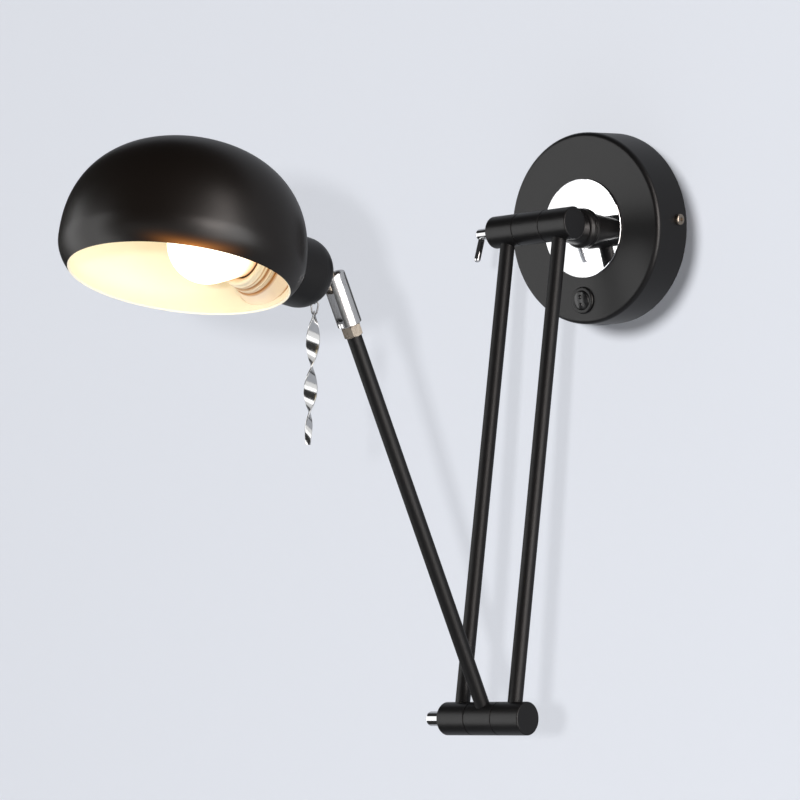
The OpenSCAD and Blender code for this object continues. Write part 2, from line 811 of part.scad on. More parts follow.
module forearm_rod() {
    color(paint) at_forearm() difference() {
        union() {
            disc_at(rod_r, seat_floor + seat_gap, nut_start - seat_gap);
            disc_at(stud_r, nut_start - 1, slot_floor - 0.4);
        }
        disc_at(rod_bore_r, seat_floor - 1, nut_start - 4);
        disc_at(stud_r - 1.2, nut_start - 5, slot_floor + 1);
    }
}

module lock_nut() {
    color(nickel) at_forearm() rotate([0, 0, 14])
        hex_nut(lock_nut_af, nut_start, clevis_start - seat_gap, stud_r + seat_gap);
}

module clevis() {
    color(chrome) at_forearm() difference() {
        intersection() {
            translate([0, 0, clevis_start]) rotate_extrude()
                polygon(concat([[0, 0], [clevis_r - 0.5, 0], [clevis_r, 0.5]],
                    arc([clevis_r - clevis_round, clevis_len + clevis_r - clevis_round],
                        clevis_round, 0, 90, 6),
                    [[0, clevis_len + clevis_r]]));
            union() {
                translate([0, 0, forearm_len]) bar(clevis_r, -clevis_r, clevis_r);
                translate([-clevis_r, -clevis_r, clevis_start])
                    cube([clevis_d, clevis_d, clevis_len]);
            }
        }
        translate([-slot_w / 2, -clevis_d, slot_floor]) cube([slot_w, 2 * clevis_d, clevis_d * 4]);
        disc_at(stud_r + seat_gap, clevis_start - 1, slot_floor + 1);
        translate([0, 0, forearm_len]) bar(tilt_pin_d / 2 + seat_gap, -clevis_r - 1, clevis_r + 1);
    }
}

module tilt_pin() {
    color(chrome) at_forearm() translate([0, 0, forearm_len])
        bar(tilt_pin_d / 2, -clevis_r + 0.3, clevis_r - 0.3);
}

// Head. The tongue is a flat tab with a round end, and a hollow nipple in front.
module head_tongue() {
    color(chrome) at_pin() difference() {
        union() {
            bar(tongue_r, -tongue_t / 2, tongue_t / 2);
            translate([-tongue_t / 2, -tongue_len, -tongue_r + 0.5])
                cube([tongue_t, tongue_len, 2 * tongue_r - 1]);
            rotate([90, 0, 0]) disc_at(nipple_r - 0.4, tongue_len - 2.4, holder_start + holder_seat);
        }
        bar(tilt_pin_d / 2 + run_clear, -clevis_r, clevis_r);
        rotate([90, 0, 0]) disc_at(nipple_bore_r, tongue_r, holder_start + holder_seat + 1);
    }
}

module tongue_nut() {
    color(zinc) along_socket() hex_nut(tongue_nut_af, tongue_nut_at,
        tongue_nut_at + tongue_nut_t, nipple_r - 0.4 + seat_gap);
}

// The cup is open towards the shade, and its front edge follows the shade's wall
module cup_solid(inset) {
    rotate_extrude() polygon(concat(dome_outline(tongue_len + inset, cup_dome - inset,
        cup_r - inset), [[cup_r - inset, shade_reach], [0, shade_reach]]));
}

module shade_solid(inset) {
    rotate_extrude($fn = 96) polygon(concat([[0, shade_rise - inset]], shade_outline(inset),
        [[0, -mouth_drop]]));
}

module socket_cup() {
    color(paint) at_pin() difference() {
        rotate([90, 0, 0]) difference() {
            cup_solid(0);
            cup_solid(cup_wall);
            disc_at(nipple_r - 0.4 + seat_gap, 0, tongue_len + 5);
        }
        to_shade() shade_solid(-seat_gap);
        to_shade() translate([0, 0, -shade_d - mouth_drop + 1]) cylinder(r = shade_d, h = shade_d);
    }
}

module lamp_holder() {
    color(ivory) along_socket() difference() {
        rotate_extrude() polygon(concat([[0, holder_start], [holder_waist_r, holder_start]],
            arc([holder_r - 7, holder_start + 12], 7, -62, 0, 6),
            [[holder_r, holder_end - holder_lip_len - 0.6],
            [holder_lip_r, holder_end - holder_lip_len]],
            arc([holder_lip_r - 0.8, holder_end - 0.8], 0.8, 0, 90, 4),
            [[0, holder_end]]));
        disc_at(holder_bore_r, holder_floor, holder_end + 1);
        translate([0, 0, holder_end - 1.6]) cylinder(r1 = holder_bore_r,
            r2 = holder_bore_r + 2.3, h = 1.7);
        disc_at(nipple_r - 0.4 + seat_gap, holder_start - 1, holder_start + holder_seat + 0.5);
        disc_at(nipple_bore_r, holder_start, holder_floor + 1);
    }
}

module holder_sleeve() {
    color(brass) along_socket() difference() {
        disc_at(sleeve_r, cap_start - 1, cap_rim - 1.2);
        disc_at(sleeve_bore_d / 2, cap_start - 2, cap_rim);
    }
}

// A bent spring strip whose raised end touches the tip of the bulb's cap
module holder_contact() {
    color(brass) along_socket() translate([0, -2.5, holder_floor]) rotate([90, 0, 90])
        linear_extrude(5, center = true)
            polygon([[-5.5, 0.1], [5.6, 0.1], [7.4, cap_start - cap_tip - holder_floor - 0.55],
                [0.2, cap_start - cap_tip - holder_floor - 0.15],
                [0.2, cap_start - cap_tip - holder_floor - 0.75],
                [6.4, cap_start - cap_tip - holder_floor - 1.1], [5, 0.7], [-5.5, 0.7]]);
}

module shade() {
    color(paint) at_pin() difference() {
        to_shade() rotate_extrude($fn = 96) polygon(concat([[0, shade_rise]], shade_outline(0),
            [for (p = [len(shade_outline(shade_wall)) - 1:-1:0]) shade_outline(shade_wall)[p]],
            [[0, shade_rise - shade_wall]]));
        rotate([90, 0, 0]) disc_at(holder_hole_r, tongue_len, shade_reach - shade_r / 2);
    }
}

// The ring's foot follows the inside of the shade
module shade_ring() {
    color(ivory) at_pin() intersection() {
        rotate([90, 0, 0]) difference() {
            rotate_extrude() polygon(concat([[0, wall_at - ring_back],
                [shade_ring_d / 2, wall_at - ring_back], [shade_ring_d / 2, wall_at + ring_edge]],
                arc([shade_ring_front_d / 2 - 0.8, ring_end - 0.8], 0.8, 20, 90, 4),
                [[0, ring_end]]));
            disc_at(ring_bore_r, wall_at - ring_back - 1, ring_end + 1);
        }
        to_shade() difference() {
            shade_solid(shade_wall + seat_gap);
            translate([0, 0, -mouth_drop - 1]) cylinder(r = shade_r, h = 1.3);
        }
    }
}

module ring_nut() {
    color(ivory) along_socket() difference() {
        rotate_extrude() polygon([[0, ring_end + seat_gap], [ring_nut_r, ring_end + seat_gap],
            [ring_nut_r, ring_end + 1.1], [ring_nut_r - 0.9, ring_end + 1.6],
            [ring_nut_r - 0.9, ring_end + 2.4], [ring_nut_r - 0.2, ring_end + 2.9],
            [ring_nut_r - 0.2, ring_end + 3.5], [ring_nut_r - 0.9, ring_end + ring_nut_t],
            [0, ring_end + ring_nut_t]]);
        disc_at(ring_bore_r, ring_end - 1, ring_end + ring_nut_t + 1);
    }
}

// Screw cap: rolled thread, glass insulator and middle contact
module bulb_cap() {
    turns = 5;
    pitch = cap_len / 7;
    color(nickel) along_socket() difference() {
        union() {
            rotate_extrude() polygon(concat([[0, cap_start - 0.5], [cap_d / 2 - 3.5, cap_start - 0.5],
                [cap_d / 2 - 1.4, cap_start + 1.5]],
                [for (i = [0:turns * 6]) [cap_d / 2 - 0.55 - 0.5 * cos(i * 60),
                    cap_start + 2.2 + i * pitch / 6]],
                [[cap_d / 2 - 0.2, cap_rim - 2.4], [cap_d / 2 - 0.1, cap_rim],
                [0, cap_rim]]));
            translate([0, 0, cap_start - cap_tip]) cylinder(r1 = 4.6, r2 = 9.4, h = cap_tip - 0.5);
        }
        disc_at(cap_d / 2 - 3.6, cap_start + 3, cap_rim + 1);
    }
}

// Globe with a straight-sided neck that is tangent to it
module bulb_glass() {
    color([0.98, 0.96, 0.90, 0.8]) along_socket() difference() {
        bulb_solid(0);
        bulb_solid(bulb_glass_t);
    }
}

module bulb_solid(inset) {
    r = bulb_r - inset;
    foot = bulb_foot_r - inset;
    lean = atan2(foot, -bulb_neck);
    touch = lean - acos(r / sqrt(pow(foot, 2) + pow(bulb_neck, 2)));
    rotate_extrude() polygon(concat([[0, cap_rim + seat_gap - inset * 0.1],
        [foot, cap_rim + seat_gap - inset * 0.1]],
        [for (i = [0:24]) let (a = touch * (1 - i / 24)) [r * sin(a), bulb_at + r * cos(a)]]));
}

// Pendant: an eye under the cup, a small link, and a long twisted strip
module wire_arc(r, from, to) {
    rotate([90, 0, 0]) rotate([0, 0, from]) rotate_extrude(angle = to - from)
        translate([r, 0]) circle(r = wire_r, $fn = 24);
}

module pendant_eye() {
    color(chrome) difference() {
        at_eye() rotate([0, 0, 90]) wire_arc(eye_ring_r, 0, 360);
        at_pin() rotate([90, 0, 0]) cup_solid(-0.02);
    }
}

module pendant_link() {
    tilt = asin((link_top_r - link_foot_r) / link_span);
    straight = sqrt(pow(link_span, 2) - pow(link_top_r - link_foot_r, 2));
    color(chrome) at_pendant() translate([0, 0, -link_drop - link_top_r]) {
        wire_arc(link_top_r, -tilt, 180 + tilt);
        translate([0, 0, -link_span]) wire_arc(link_foot_r, 180 + tilt, 360 - tilt);
        for (side = [0, 1]) mirror([side, 0, 0])
            translate([link_top_r * cos(tilt), 0, -link_top_r * sin(tilt)])
                rotate([0, 180 + tilt, 0]) translate([0, 0, -0.1])
                    cylinder(r = wire_r - 0.01, h = straight + 0.2);
    }
}

// Width of the twisted strip at a share of its length, from its pointed top to its thin end
function twist_width(share) =
    share < 0.12 ? twist_tip_w + (twist_w - twist_tip_w) * sin(90 * share / 0.12)
    : share < 0.72 ? twist_w
    : twist_w + (twist_end_w - twist_w) * sin(90 * (share - 0.72) / 0.28);

// Thickness of the twisted strip at a share of its length
function twist_depth(share) =
    twist_tip_t + (twist_t - twist_tip_t) * sin(90 * min(1, share / 0.2));

// One cross-section of the strip: a flat bar with broken edges, turned with the twist
function twist_ring(i) =
    let (share = i / twist_rings, w = twist_width(share) / 2, t = twist_depth(share) / 2,
        edge = t * 0.6, turn = 90 - 180 * pow(share * twist_len / twist_half_turn,
            twist_tightening))
    [for (p = [[w, t - edge], [w - edge, t], [edge - w, t], [-w, t - edge],
            [-w, edge - t], [edge - w, -t], [w - edge, -t], [w, edge - t]])
        [p[0] * cos(turn) - p[1] * sin(turn), p[0] * sin(turn) + p[1] * cos(turn),
            -share * twist_len]];

module twisted_drop() {
    n = twist_sides;
    points = [for (i = [0:twist_rings]) each twist_ring(i)];
    sides = [for (i = [0:twist_rings - 1]) for (j = [0:n - 1])
        let (a = i * n + j, b = i * n + (j + 1) % n)
            each [[a, b, b + n], [a, b + n, a + n]]];
    last = twist_rings * n;
    top = [for (j = [1:n - 2]) [0, j + 1, j]];
    foot = [for (j = [1:n - 2]) [last, last + j, last + j + 1]];
    color(chrome) at_pendant() translate([0, 0, -twist_top]) difference() {
        polyhedron(points, concat(top, sides, foot));
        translate([0, 0, -twist_hole_at]) rotate([0, 90, 0])
            cylinder(r = twist_hole_r, h = 8, center = true, $fn = 16);
    }
}

wall_bracket();
earth_screw();
terminal_block();
wall_plate();
plate_side_screws();
rose_disc();
neck_bush();
switch_body();
switch_tabs();
switch_rocker();
neck_stem();
neck_washer();
neck_nut();
shoulder_barrel();
shoulder_knuckle_left();
shoulder_knuckle_right();
shoulder_washers();
fork_rod_left();
fork_rod_right();
elbow_knuckle_left();
elbow_knuckle_right();
elbow_washers();
shoulder_stud();
shoulder_clamp_nut();
shoulder_lever();
elbow_stud();
elbow_clamp_nut();
elbow_lever();
elbow_barrel();
forearm_rod();
lock_nut();
clevis();
tilt_pin();
head_tongue();
tongue_nut();
socket_cup();
lamp_holder();
holder_sleeve();
holder_contact();
shade();
shade_ring();
ring_nut();
bulb_cap();
bulb_glass();
pendant_eye();
pendant_link();
twisted_drop();
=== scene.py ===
# %% [markdown]
# # A swing arm wall lamp, dressed for its picture
#
# The lamp hangs on a wall: a round plate, a neck, a fork of two rods, one forearm and a
# dome shade with a lit globe bulb. Its working parts come ready made from the packed
# model, so this script only adds what Blender is good at: finishes, soft light, and the
# few pieces whose form a solid modeller leaves plain. Lengths are written in millimetres
# and turned into Blender's metres by one helper.

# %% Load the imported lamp
import math

import bpy
from mathutils import Matrix, Vector


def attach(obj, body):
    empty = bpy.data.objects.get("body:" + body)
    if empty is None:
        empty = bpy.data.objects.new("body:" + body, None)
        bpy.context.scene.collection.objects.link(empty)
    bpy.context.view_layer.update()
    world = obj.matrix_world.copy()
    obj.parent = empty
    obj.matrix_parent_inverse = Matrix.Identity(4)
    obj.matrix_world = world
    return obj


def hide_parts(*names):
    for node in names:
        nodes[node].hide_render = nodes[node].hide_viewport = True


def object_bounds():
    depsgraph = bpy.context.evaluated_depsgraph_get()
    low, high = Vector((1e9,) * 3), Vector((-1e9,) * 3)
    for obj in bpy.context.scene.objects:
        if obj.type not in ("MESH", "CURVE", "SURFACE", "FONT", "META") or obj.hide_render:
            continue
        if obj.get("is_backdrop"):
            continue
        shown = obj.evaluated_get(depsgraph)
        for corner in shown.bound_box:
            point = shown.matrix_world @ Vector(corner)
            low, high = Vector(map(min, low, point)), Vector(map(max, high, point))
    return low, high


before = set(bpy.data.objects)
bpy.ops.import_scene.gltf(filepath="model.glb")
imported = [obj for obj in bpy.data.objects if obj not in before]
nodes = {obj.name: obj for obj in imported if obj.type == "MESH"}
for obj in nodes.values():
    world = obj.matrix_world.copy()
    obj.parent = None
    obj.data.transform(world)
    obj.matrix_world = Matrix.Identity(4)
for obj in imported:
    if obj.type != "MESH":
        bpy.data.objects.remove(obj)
cad_box = [list(corner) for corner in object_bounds()]
print("nodes of the lamp:", len(nodes))

# %% Small helpers for places
MM = 0.001


def shift(x, y, z):
    """A move by millimetres, as a matrix."""
    return Matrix.Translation((x * MM, y * MM, z * MM))


def turn(degrees, axis):
    """A turn about one axis, as a matrix."""
    return Matrix.Rotation(math.radians(degrees), 4, axis)


def pale(red, green, blue):
    """The linear colour of three screen values from 0 to 255, by the screen's own curve."""
    return tuple(
        v / 255 / 12.92 if v <= 10 else ((v / 255 + 0.055) / 1.055) ** 2.4
        for v in (red, green, blue)
    ) + (1.0,)


print("wall colour in linear light:", [round(v, 3) for v in pale(224, 227, 234)])

# %% [markdown]
# ## Where each part of the lamp stands
#
# The arm is folded in the picture: the fork leans out 14 degrees, the forearm comes back
# up 22 degrees from upright, and the lamp head is tipped up a little. New pieces need the
# same frames, so they are built here in the order of the real joints. Every frame is a
# matrix that carries a point of the piece to its place on the wall.

# %% Frames of the joints
NECK_TURN, FORK_LEAN, FOREARM_LEAN = 5, 14, 22
HEAD_LIFT, SHADE_ROLL, SHADE_LEAN = 12.4, 2.9, 17.5
SHOULDER_OUT, FORK_LENGTH, FOREARM_LENGTH = 74.5, 304, 282
WALL_AT = 51.4  # from the tilt pin to the shade's wall, along the socket
SHADE_R = 68.8
SOCKET_RISE = 9

at_shoulder = shift(0, -SHOULDER_OUT, 0) @ turn(-NECK_TURN, "Y")
at_fork = at_shoulder @ turn(-FORK_LEAN, "X")
at_elbow = at_fork @ shift(0, 0, -FORK_LENGTH)
at_forearm = at_elbow @ turn(FORK_LEAN + FOREARM_LEAN, "X")
at_pin = at_forearm @ shift(0, 0, FOREARM_LENGTH) @ turn(-FOREARM_LEAN - HEAD_LIFT, "X")
along_socket = at_pin @ turn(90, "X")
at_shade = (
    at_pin
    @ turn(-SHADE_ROLL, "Y")
    @ shift(0, -WALL_AT - SHADE_R, 0)
    @ turn(HEAD_LIFT - SHADE_LEAN, "X")
    @ shift(0, 0, -SOCKET_RISE)
)
for name, place in (("tilt pin", at_pin), ("shade", at_shade)):
    print(name, "stands at", [round(v / MM, 1) for v in place.to_translation()], "mm")

# %% [markdown]
# ## Camera
#
# The picture was taken with a long lens, 43 degrees round from the front of the wall and
# almost level. The camera is given its own three axes, so that the small roll of the
# picture is kept too.

# %% Place the camera
AZIMUTH, ELEVATION, ROLL = (math.radians(v) for v in (43.013, 2.082, -0.124))
LOOK_AT = Vector((-183.031, 0, -112.381)) * MM
CAMERA_REACH = 2302.861 * MM
LENS, SENSOR, CLIP_NEAR, CLIP_FAR = 155.095, 36, 50, 50000
back = Vector((
    math.sin(AZIMUTH) * math.cos(ELEVATION),
    -math.cos(AZIMUTH) * math.cos(ELEVATION),
    math.sin(ELEVATION),
))
level_right = (-back).cross(Vector((0, 0, 1))).normalized()
level_up = level_right.cross(-back)
right = level_right * math.cos(ROLL) + level_up * math.sin(ROLL)
up = level_up * math.cos(ROLL) - level_right * math.sin(ROLL)
camera_data = bpy.data.cameras.new("camera")
camera_data.lens = LENS
camera_data.sensor_width = SENSOR
camera_data.clip_start, camera_data.clip_end = CLIP_NEAR * MM, CLIP_FAR * MM
camera = bpy.data.objects.new("camera", camera_data)
bpy.context.scene.collection.objects.link(camera)
camera.matrix_world = Matrix.Translation(LOOK_AT + back * CAMERA_REACH) @ Matrix(
    (right, up, back)).transposed().to_4x4()
bpy.context.scene.camera = camera
print("camera stands", round(CAMERA_REACH, 3), "m from the wall, with a lens of", LENS)

# %% [markdown]
# ## Wall and floor
#
# The picture's ground is one even pale tone with two shadows: a deep one that the round
# plate drops to its lower right, and a faint wide one that the whole lamp throws to its
# right. Real diffuse paint takes both. Its colour is the tone of the picture, and the light
# on it adds up to one. In mirrors the wall answers more weakly, which keeps the outline of
# the black dome dark. Seen from behind, wall and floor vanish, so that the lamp can be
# looked at from every side.

# %% Paint of the wall and the floor
GROUND = pale(224, 227, 234)
MIRROR_SHARE = 0.5
GROUND_IN_GLOSS = tuple(MIRROR_SHARE * v for v in GROUND[:3]) + (1.0,)


def pale_ground(name):
    """Diffuse paint, weaker in mirrors, and clear from behind."""
    material = bpy.data.materials.new(name)
    material.use_nodes = True
    tree = material.node_tree
    tree.nodes.clear()
    out = tree.nodes.new("ShaderNodeOutputMaterial")
    path = tree.nodes.new("ShaderNodeLightPath")
    geometry = tree.nodes.new("ShaderNodeNewGeometry")
    paint = tree.nodes.new("ShaderNodeBsdfDiffuse")
    paint.inputs["Color"].default_value = GROUND
    mirrored = tree.nodes.new("ShaderNodeEmission")
    mirrored.inputs["Color"].default_value = GROUND_IN_GLOSS
    both = tree.nodes.new("ShaderNodeMixShader")
    tree.links.new(path.outputs["Is Glossy Ray"], both.inputs[0])
    tree.links.new(paint.outputs[0], both.inputs[1])
    tree.links.new(mirrored.outputs[0], both.inputs[2])
    clear = tree.nodes.new("ShaderNodeBsdfTransparent")
    front = tree.nodes.new("ShaderNodeMixShader")
    tree.links.new(geometry.outputs["Backfacing"], front.inputs[0])
    tree.links.new(both.outputs[0], front.inputs[1])
    tree.links.new(clear.outputs[0], front.inputs[2])
    tree.links.new(front.outputs[0], out.inputs["Surface"])
    return material


print("the wall in mirrors:", [round(v, 3) for v in GROUND_IN_GLOSS[:3]])

# %% Lay the wall and the floor
WALL_GAP = 0.3
WALL_LEFT, WALL_RIGHT, WALL_TOP = -720, 1200, 500
FLOOR_DROP, FLOOR_DEPTH = 1300, 1400


def ground_plane(name, width, depth, place):
    """A flat sheet of the pale ground, in millimetres, moved and turned by place."""
    bpy.ops.object.select_all(action="DESELECT")
    bpy.ops.mesh.primitive_plane_add(size=1)
    plane = bpy.context.object
    plane.name = plane.data.name = name
    plane.scale = (width * MM, depth * MM, 1)
    bpy.ops.object.transform_apply(location=False, rotation=False, scale=True)
    plane.matrix_world = place
    plane.data.materials.append(pale_ground(name + "_paint"))
    plane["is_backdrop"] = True
    return plane


wall_width, wall_height = WALL_RIGHT - WALL_LEFT, WALL_TOP + FLOOR_DROP
wall_middle = (WALL_LEFT + WALL_RIGHT) / 2
wall = ground_plane(
    "wall", wall_width, wall_height,
    shift(wall_middle, WALL_GAP, (WALL_TOP - FLOOR_DROP) / 2) @ turn(90, "X"))
floor = ground_plane(
    "floor", wall_width, FLOOR_DEPTH,
    shift(wall_middle, WALL_GAP - FLOOR_DEPTH / 2, -FLOOR_DROP))
print("wall", wall_width, "by", wall_height, "mm, floor", FLOOR_DEPTH, "mm deep")

# %% [markdown]
# ## Lights
#
# Black enamel and chrome show nothing but what they mirror, so the lamp is lit by tall
# soft boxes left and right, placed where the highlights of the dome, the rods and the
# plate ask for them. Two more lights belong to the shadows: a wide soft sun from the upper
# left, whose only shadow in the picture is the plate's, and a small flash beside the
# camera, which gives everything its faint shadow. Neither shows in the gloss. The world
# adds a little light from all round, less of it in mirrors, and shows the camera the
# wall's own tone where the wall ends.
#
# What suits the plate and the rods doesn't suit every piece. The foot of the dome would
# stay dark where the picture has a soft sheen, so the dome gets one more box, low down.
# The twisted strip turns its face all the way round and would show the gaps between the
# boxes as hard black bands, so it has four wide, weak boxes of its own.

# %% Soft boxes
LAMP_MIDDLE = Vector((0, -200, -110)) * MM
BOX_REACH = 2400 * MM


def away_from_lamp(azimuth, elevation):
    """The direction from the lamp to a light, as seen round the lamp."""
    a, e = math.radians(azimuth), math.radians(elevation)
    return Vector((math.sin(a) * math.cos(e), -math.cos(a) * math.cos(e), math.sin(e)))


def hang_light(light, azimuth, elevation, reach):
    """Places a light that faces the lamp and that the camera doesn't see."""
    holder = bpy.data.objects.new(light.name, light)
    bpy.context.scene.collection.objects.link(holder)
    away = away_from_lamp(azimuth, elevation)
    holder.location = LAMP_MIDDLE + away * reach
    holder.rotation_mode = "QUATERNION"
    holder.rotation_quaternion = away.to_track_quat("Z", "Y")
    holder.visible_camera = False
    return holder


WARM, NEUTRAL = (1.0, 0.92, 0.88), (1.0, 1.0, 1.0)


def soft_box(name, azimuth, elevation, wide, tall, radiance, colour=NEUTRAL):
    """A soft box, its width and height in degrees; radiance 1 looks white in a mirror."""
    light = bpy.data.lights.new(name, "AREA")
    light.color = colour
    light.shape = "RECTANGLE"
    light.size = 2 * BOX_REACH * math.tan(math.radians(wide / 2))
    light.size_y = 2 * BOX_REACH * math.tan(math.radians(tall / 2))
    light.energy = radiance * math.pi * light.size * light.size_y
    return hang_light(light, azimuth, elevation, BOX_REACH)


boxes = [
    soft_box("left_box", -34, -6, 17, 60, 2.7),
    soft_box("left_far_box", -51, -2.5, 17, 50, 1.2),
    soft_box("left_side_box", -70, -4, 20, 50, 2.1),
    soft_box("right_box", 68, 10, 20, 25, 9.8, WARM),
    soft_box("right_low_box", 68, -15, 20, 25, 4.6, WARM),
    soft_box("right_high_box", 85, 30, 17, 35, 4.5, WARM),
    soft_box("side_box", 90, -3, 24, 40, 4.6),
    soft_box("front_card", 25, -15, 70, 25, 0.5),
]
shade_boxes = [soft_box("left_foot_box", -42, -38, 34, 16, 2.0)]
strip_boxes = [
    soft_box("strip_left_box", -42, -4, 30, 70, 1.4),
    soft_box("strip_left_far_box", -72, -4, 30, 70, 0.6),
    soft_box("strip_right_box", 50, -4, 26, 70, 1.4),
    soft_box("strip_right_far_box", 81, -4, 37, 70, 0.75),
]
print("soft boxes:", [box.name for box in boxes + shade_boxes + strip_boxes])

# %% Key and flash
WHITE_SUN = math.pi  # the strength at which a sun shows white paint as white
KEY_SHARE, FLASH_SHARE = 0.81, 0.21
KEY_FROM, KEY_SPREAD = (-18, 15), 20
FLASH_FROM, FLASH_REACH, FLASH_SIZE = (36.2, 4), 3000 * MM, 100 * MM


def key_light(name):
    """The key is a sun that the gloss doesn't see."""
    light = bpy.data.lights.new(name, "SUN")
    light.angle = math.radians(KEY_SPREAD)
    light.energy = WHITE_SUN * KEY_SHARE
    holder = hang_light(light, *KEY_FROM, BOX_REACH)
    holder.visible_glossy = False
    return holder


wall_key = key_light("wall_key")
lamp_key = key_light("lamp_key")
flash_light = bpy.data.lights.new("flash", "AREA")
flash_light.size = FLASH_SIZE
flash_light.energy = WHITE_SUN * FLASH_SHARE * math.pi * FLASH_REACH ** 2
flash = hang_light(flash_light, *FLASH_FROM, FLASH_REACH)
flash.visible_glossy = False
print("key:", round(WHITE_SUN * KEY_SHARE, 2), "flash:", round(flash_light.energy, 2))

# %% Mix two colours in a node tree


def colour_mix(tree, first, second, factor, blend="MIX"):
    """A mix of two colours; each of the three is a plain value or another node's output."""
    mix = tree.nodes.new("ShaderNodeMix")
    mix.data_type = "RGBA"
    mix.blend_type = blend
    for title, source in (("A", first), ("B", second), ("Factor", factor)):
        if isinstance(source, bpy.types.NodeSocket):
            tree.links.new(source, mix.inputs[title])
        else:
            mix.inputs[title].default_value = source
    return mix.outputs["Result"]


# %% World
AMBIENT_SHARE, GLOSS_SHARE = 0.08, 0.03
world = bpy.data.worlds.new("studio")
bpy.context.scene.world = world
world.use_nodes = True
tree = world.node_tree
path = tree.nodes.new("ShaderNodeLightPath")
seen = tree.nodes.new("ShaderNodeMath")
seen.operation = "MAXIMUM"
tree.links.new(path.outputs["Is Camera Ray"], seen.inputs[0])
tree.links.new(path.outputs["Is Transmission Ray"], seen.inputs[1])
dim = colour_mix(tree, (AMBIENT_SHARE,) * 3 + (1,), (GLOSS_SHARE,) * 3 + (1,),
                 path.outputs["Is Glossy Ray"])
sky = colour_mix(tree, dim, GROUND, seen.outputs[0])
tree.links.new(sky, tree.nodes["Background"].inputs["Color"])
bpy.context.scene.view_settings.view_transform = "Standard"

# %% [markdown]
# ## Finishes
#
# Nearly everything is one satin black enamel. Sprayed enamel is never perfectly flat: it
# has a fine orange peel, specks of dust, and a gloss that changes a little from place to
# place. That effect is built once, as a node group that gives a height and two masks, and
# each finish takes it with its own size. The metals share a second group, which gives
# fine polishing lines and the wipe marks that plating keeps.

# %% Node group: orange peel, clouds and specks
GRAIN_DETAIL, CLOUD_DETAIL, SPECK_SCALE, SPECK_SIZE = 2, 4, 420, 0.06


def new_group(name, inputs, outputs):
    """An empty node group with its named sockets, and its two end nodes."""
    group = bpy.data.node_groups.new(name, "ShaderNodeTree")
    for title, kind, start in inputs:
        socket = group.interface.new_socket(title, in_out="INPUT", socket_type=kind)
        if start is not None:
            socket.default_value = start
    for title, kind in outputs:
        group.interface.new_socket(title, in_out="OUTPUT", socket_type=kind)
    return group, group.nodes.new("NodeGroupInput"), group.nodes.new("NodeGroupOutput")


peel, peel_in, peel_out = new_group(
    "sprayed_surface",
    [("Place", "NodeSocketVector", None), ("Grain size", "NodeSocketFloat", 900.0),
     ("Cloud size", "NodeSocketFloat", 18.0)],
    [("Height", "NodeSocketFloat"), ("Clouds", "NodeSocketFloat"),
     ("Specks", "NodeSocketFloat")],
)
grain = peel.nodes.new("ShaderNodeTexNoise")
grain.inputs["Detail"].default_value = GRAIN_DETAIL
peel.links.new(peel_in.outputs["Place"], grain.inputs["Vector"])
peel.links.new(peel_in.outputs["Grain size"], grain.inputs["Scale"])
peel.links.new(grain.outputs["Fac"], peel_out.inputs["Height"])
clouds = peel.nodes.new("ShaderNodeTexNoise")
clouds.inputs["Detail"].default_value = CLOUD_DETAIL
peel.links.new(peel_in.outputs["Place"], clouds.inputs["Vector"])
peel.links.new(peel_in.outputs["Cloud size"], clouds.inputs["Scale"])
peel.links.new(clouds.outputs["Fac"], peel_out.inputs["Clouds"])
specks = peel.nodes.new("ShaderNodeTexVoronoi")
specks.inputs["Scale"].default_value = SPECK_SCALE
peel.links.new(peel_in.outputs["Place"], specks.inputs["Vector"])
speck_cut = peel.nodes.new("ShaderNodeMapRange")
speck_cut.inputs["From Min"].default_value = SPECK_SIZE
speck_cut.inputs["From Max"].default_value = 0.0
peel.links.new(specks.outputs["Distance"], speck_cut.inputs["Value"])
peel.links.new(speck_cut.outputs["Result"], peel_out.inputs["Specks"])
print("group", peel.name, "puts out", [
    item.name for item in peel.interface.items_tree if item.in_out == "OUTPUT"])

# %% Node group: polishing lines
LINE_STRETCH, LINE_DETAIL, WIPE_SCALE, WIPE_SWIRL = 0.04, 3, 90, 1.5
lines, lines_in, lines_out = new_group(
    "polishing_lines",
    [("Place", "NodeSocketVector", None), ("Line size", "NodeSocketFloat", 700.0)],
    [("Lines", "NodeSocketFloat"), ("Wipes", "NodeSocketFloat")],
)
stretch = lines.nodes.new("ShaderNodeMapping")
stretch.inputs["Scale"].default_value = (1, 1, LINE_STRETCH)
lines.links.new(lines_in.outputs["Place"], stretch.inputs["Vector"])
fine = lines.nodes.new("ShaderNodeTexNoise")
fine.inputs["Detail"].default_value = LINE_DETAIL
lines.links.new(stretch.outputs["Vector"], fine.inputs["Vector"])
lines.links.new(lines_in.outputs["Line size"], fine.inputs["Scale"])
lines.links.new(fine.outputs["Fac"], lines_out.inputs["Lines"])
wipes = lines.nodes.new("ShaderNodeTexNoise")
wipes.inputs["Scale"].default_value = WIPE_SCALE
wipes.inputs["Distortion"].default_value = WIPE_SWIRL
lines.links.new(lines_in.outputs["Place"], wipes.inputs["Vector"])
lines.links.new(wipes.outputs["Fac"], lines_out.inputs["Wipes"])
print("group", lines.name, "holds", len(lines.nodes), "nodes")

# %% What every finish has in common


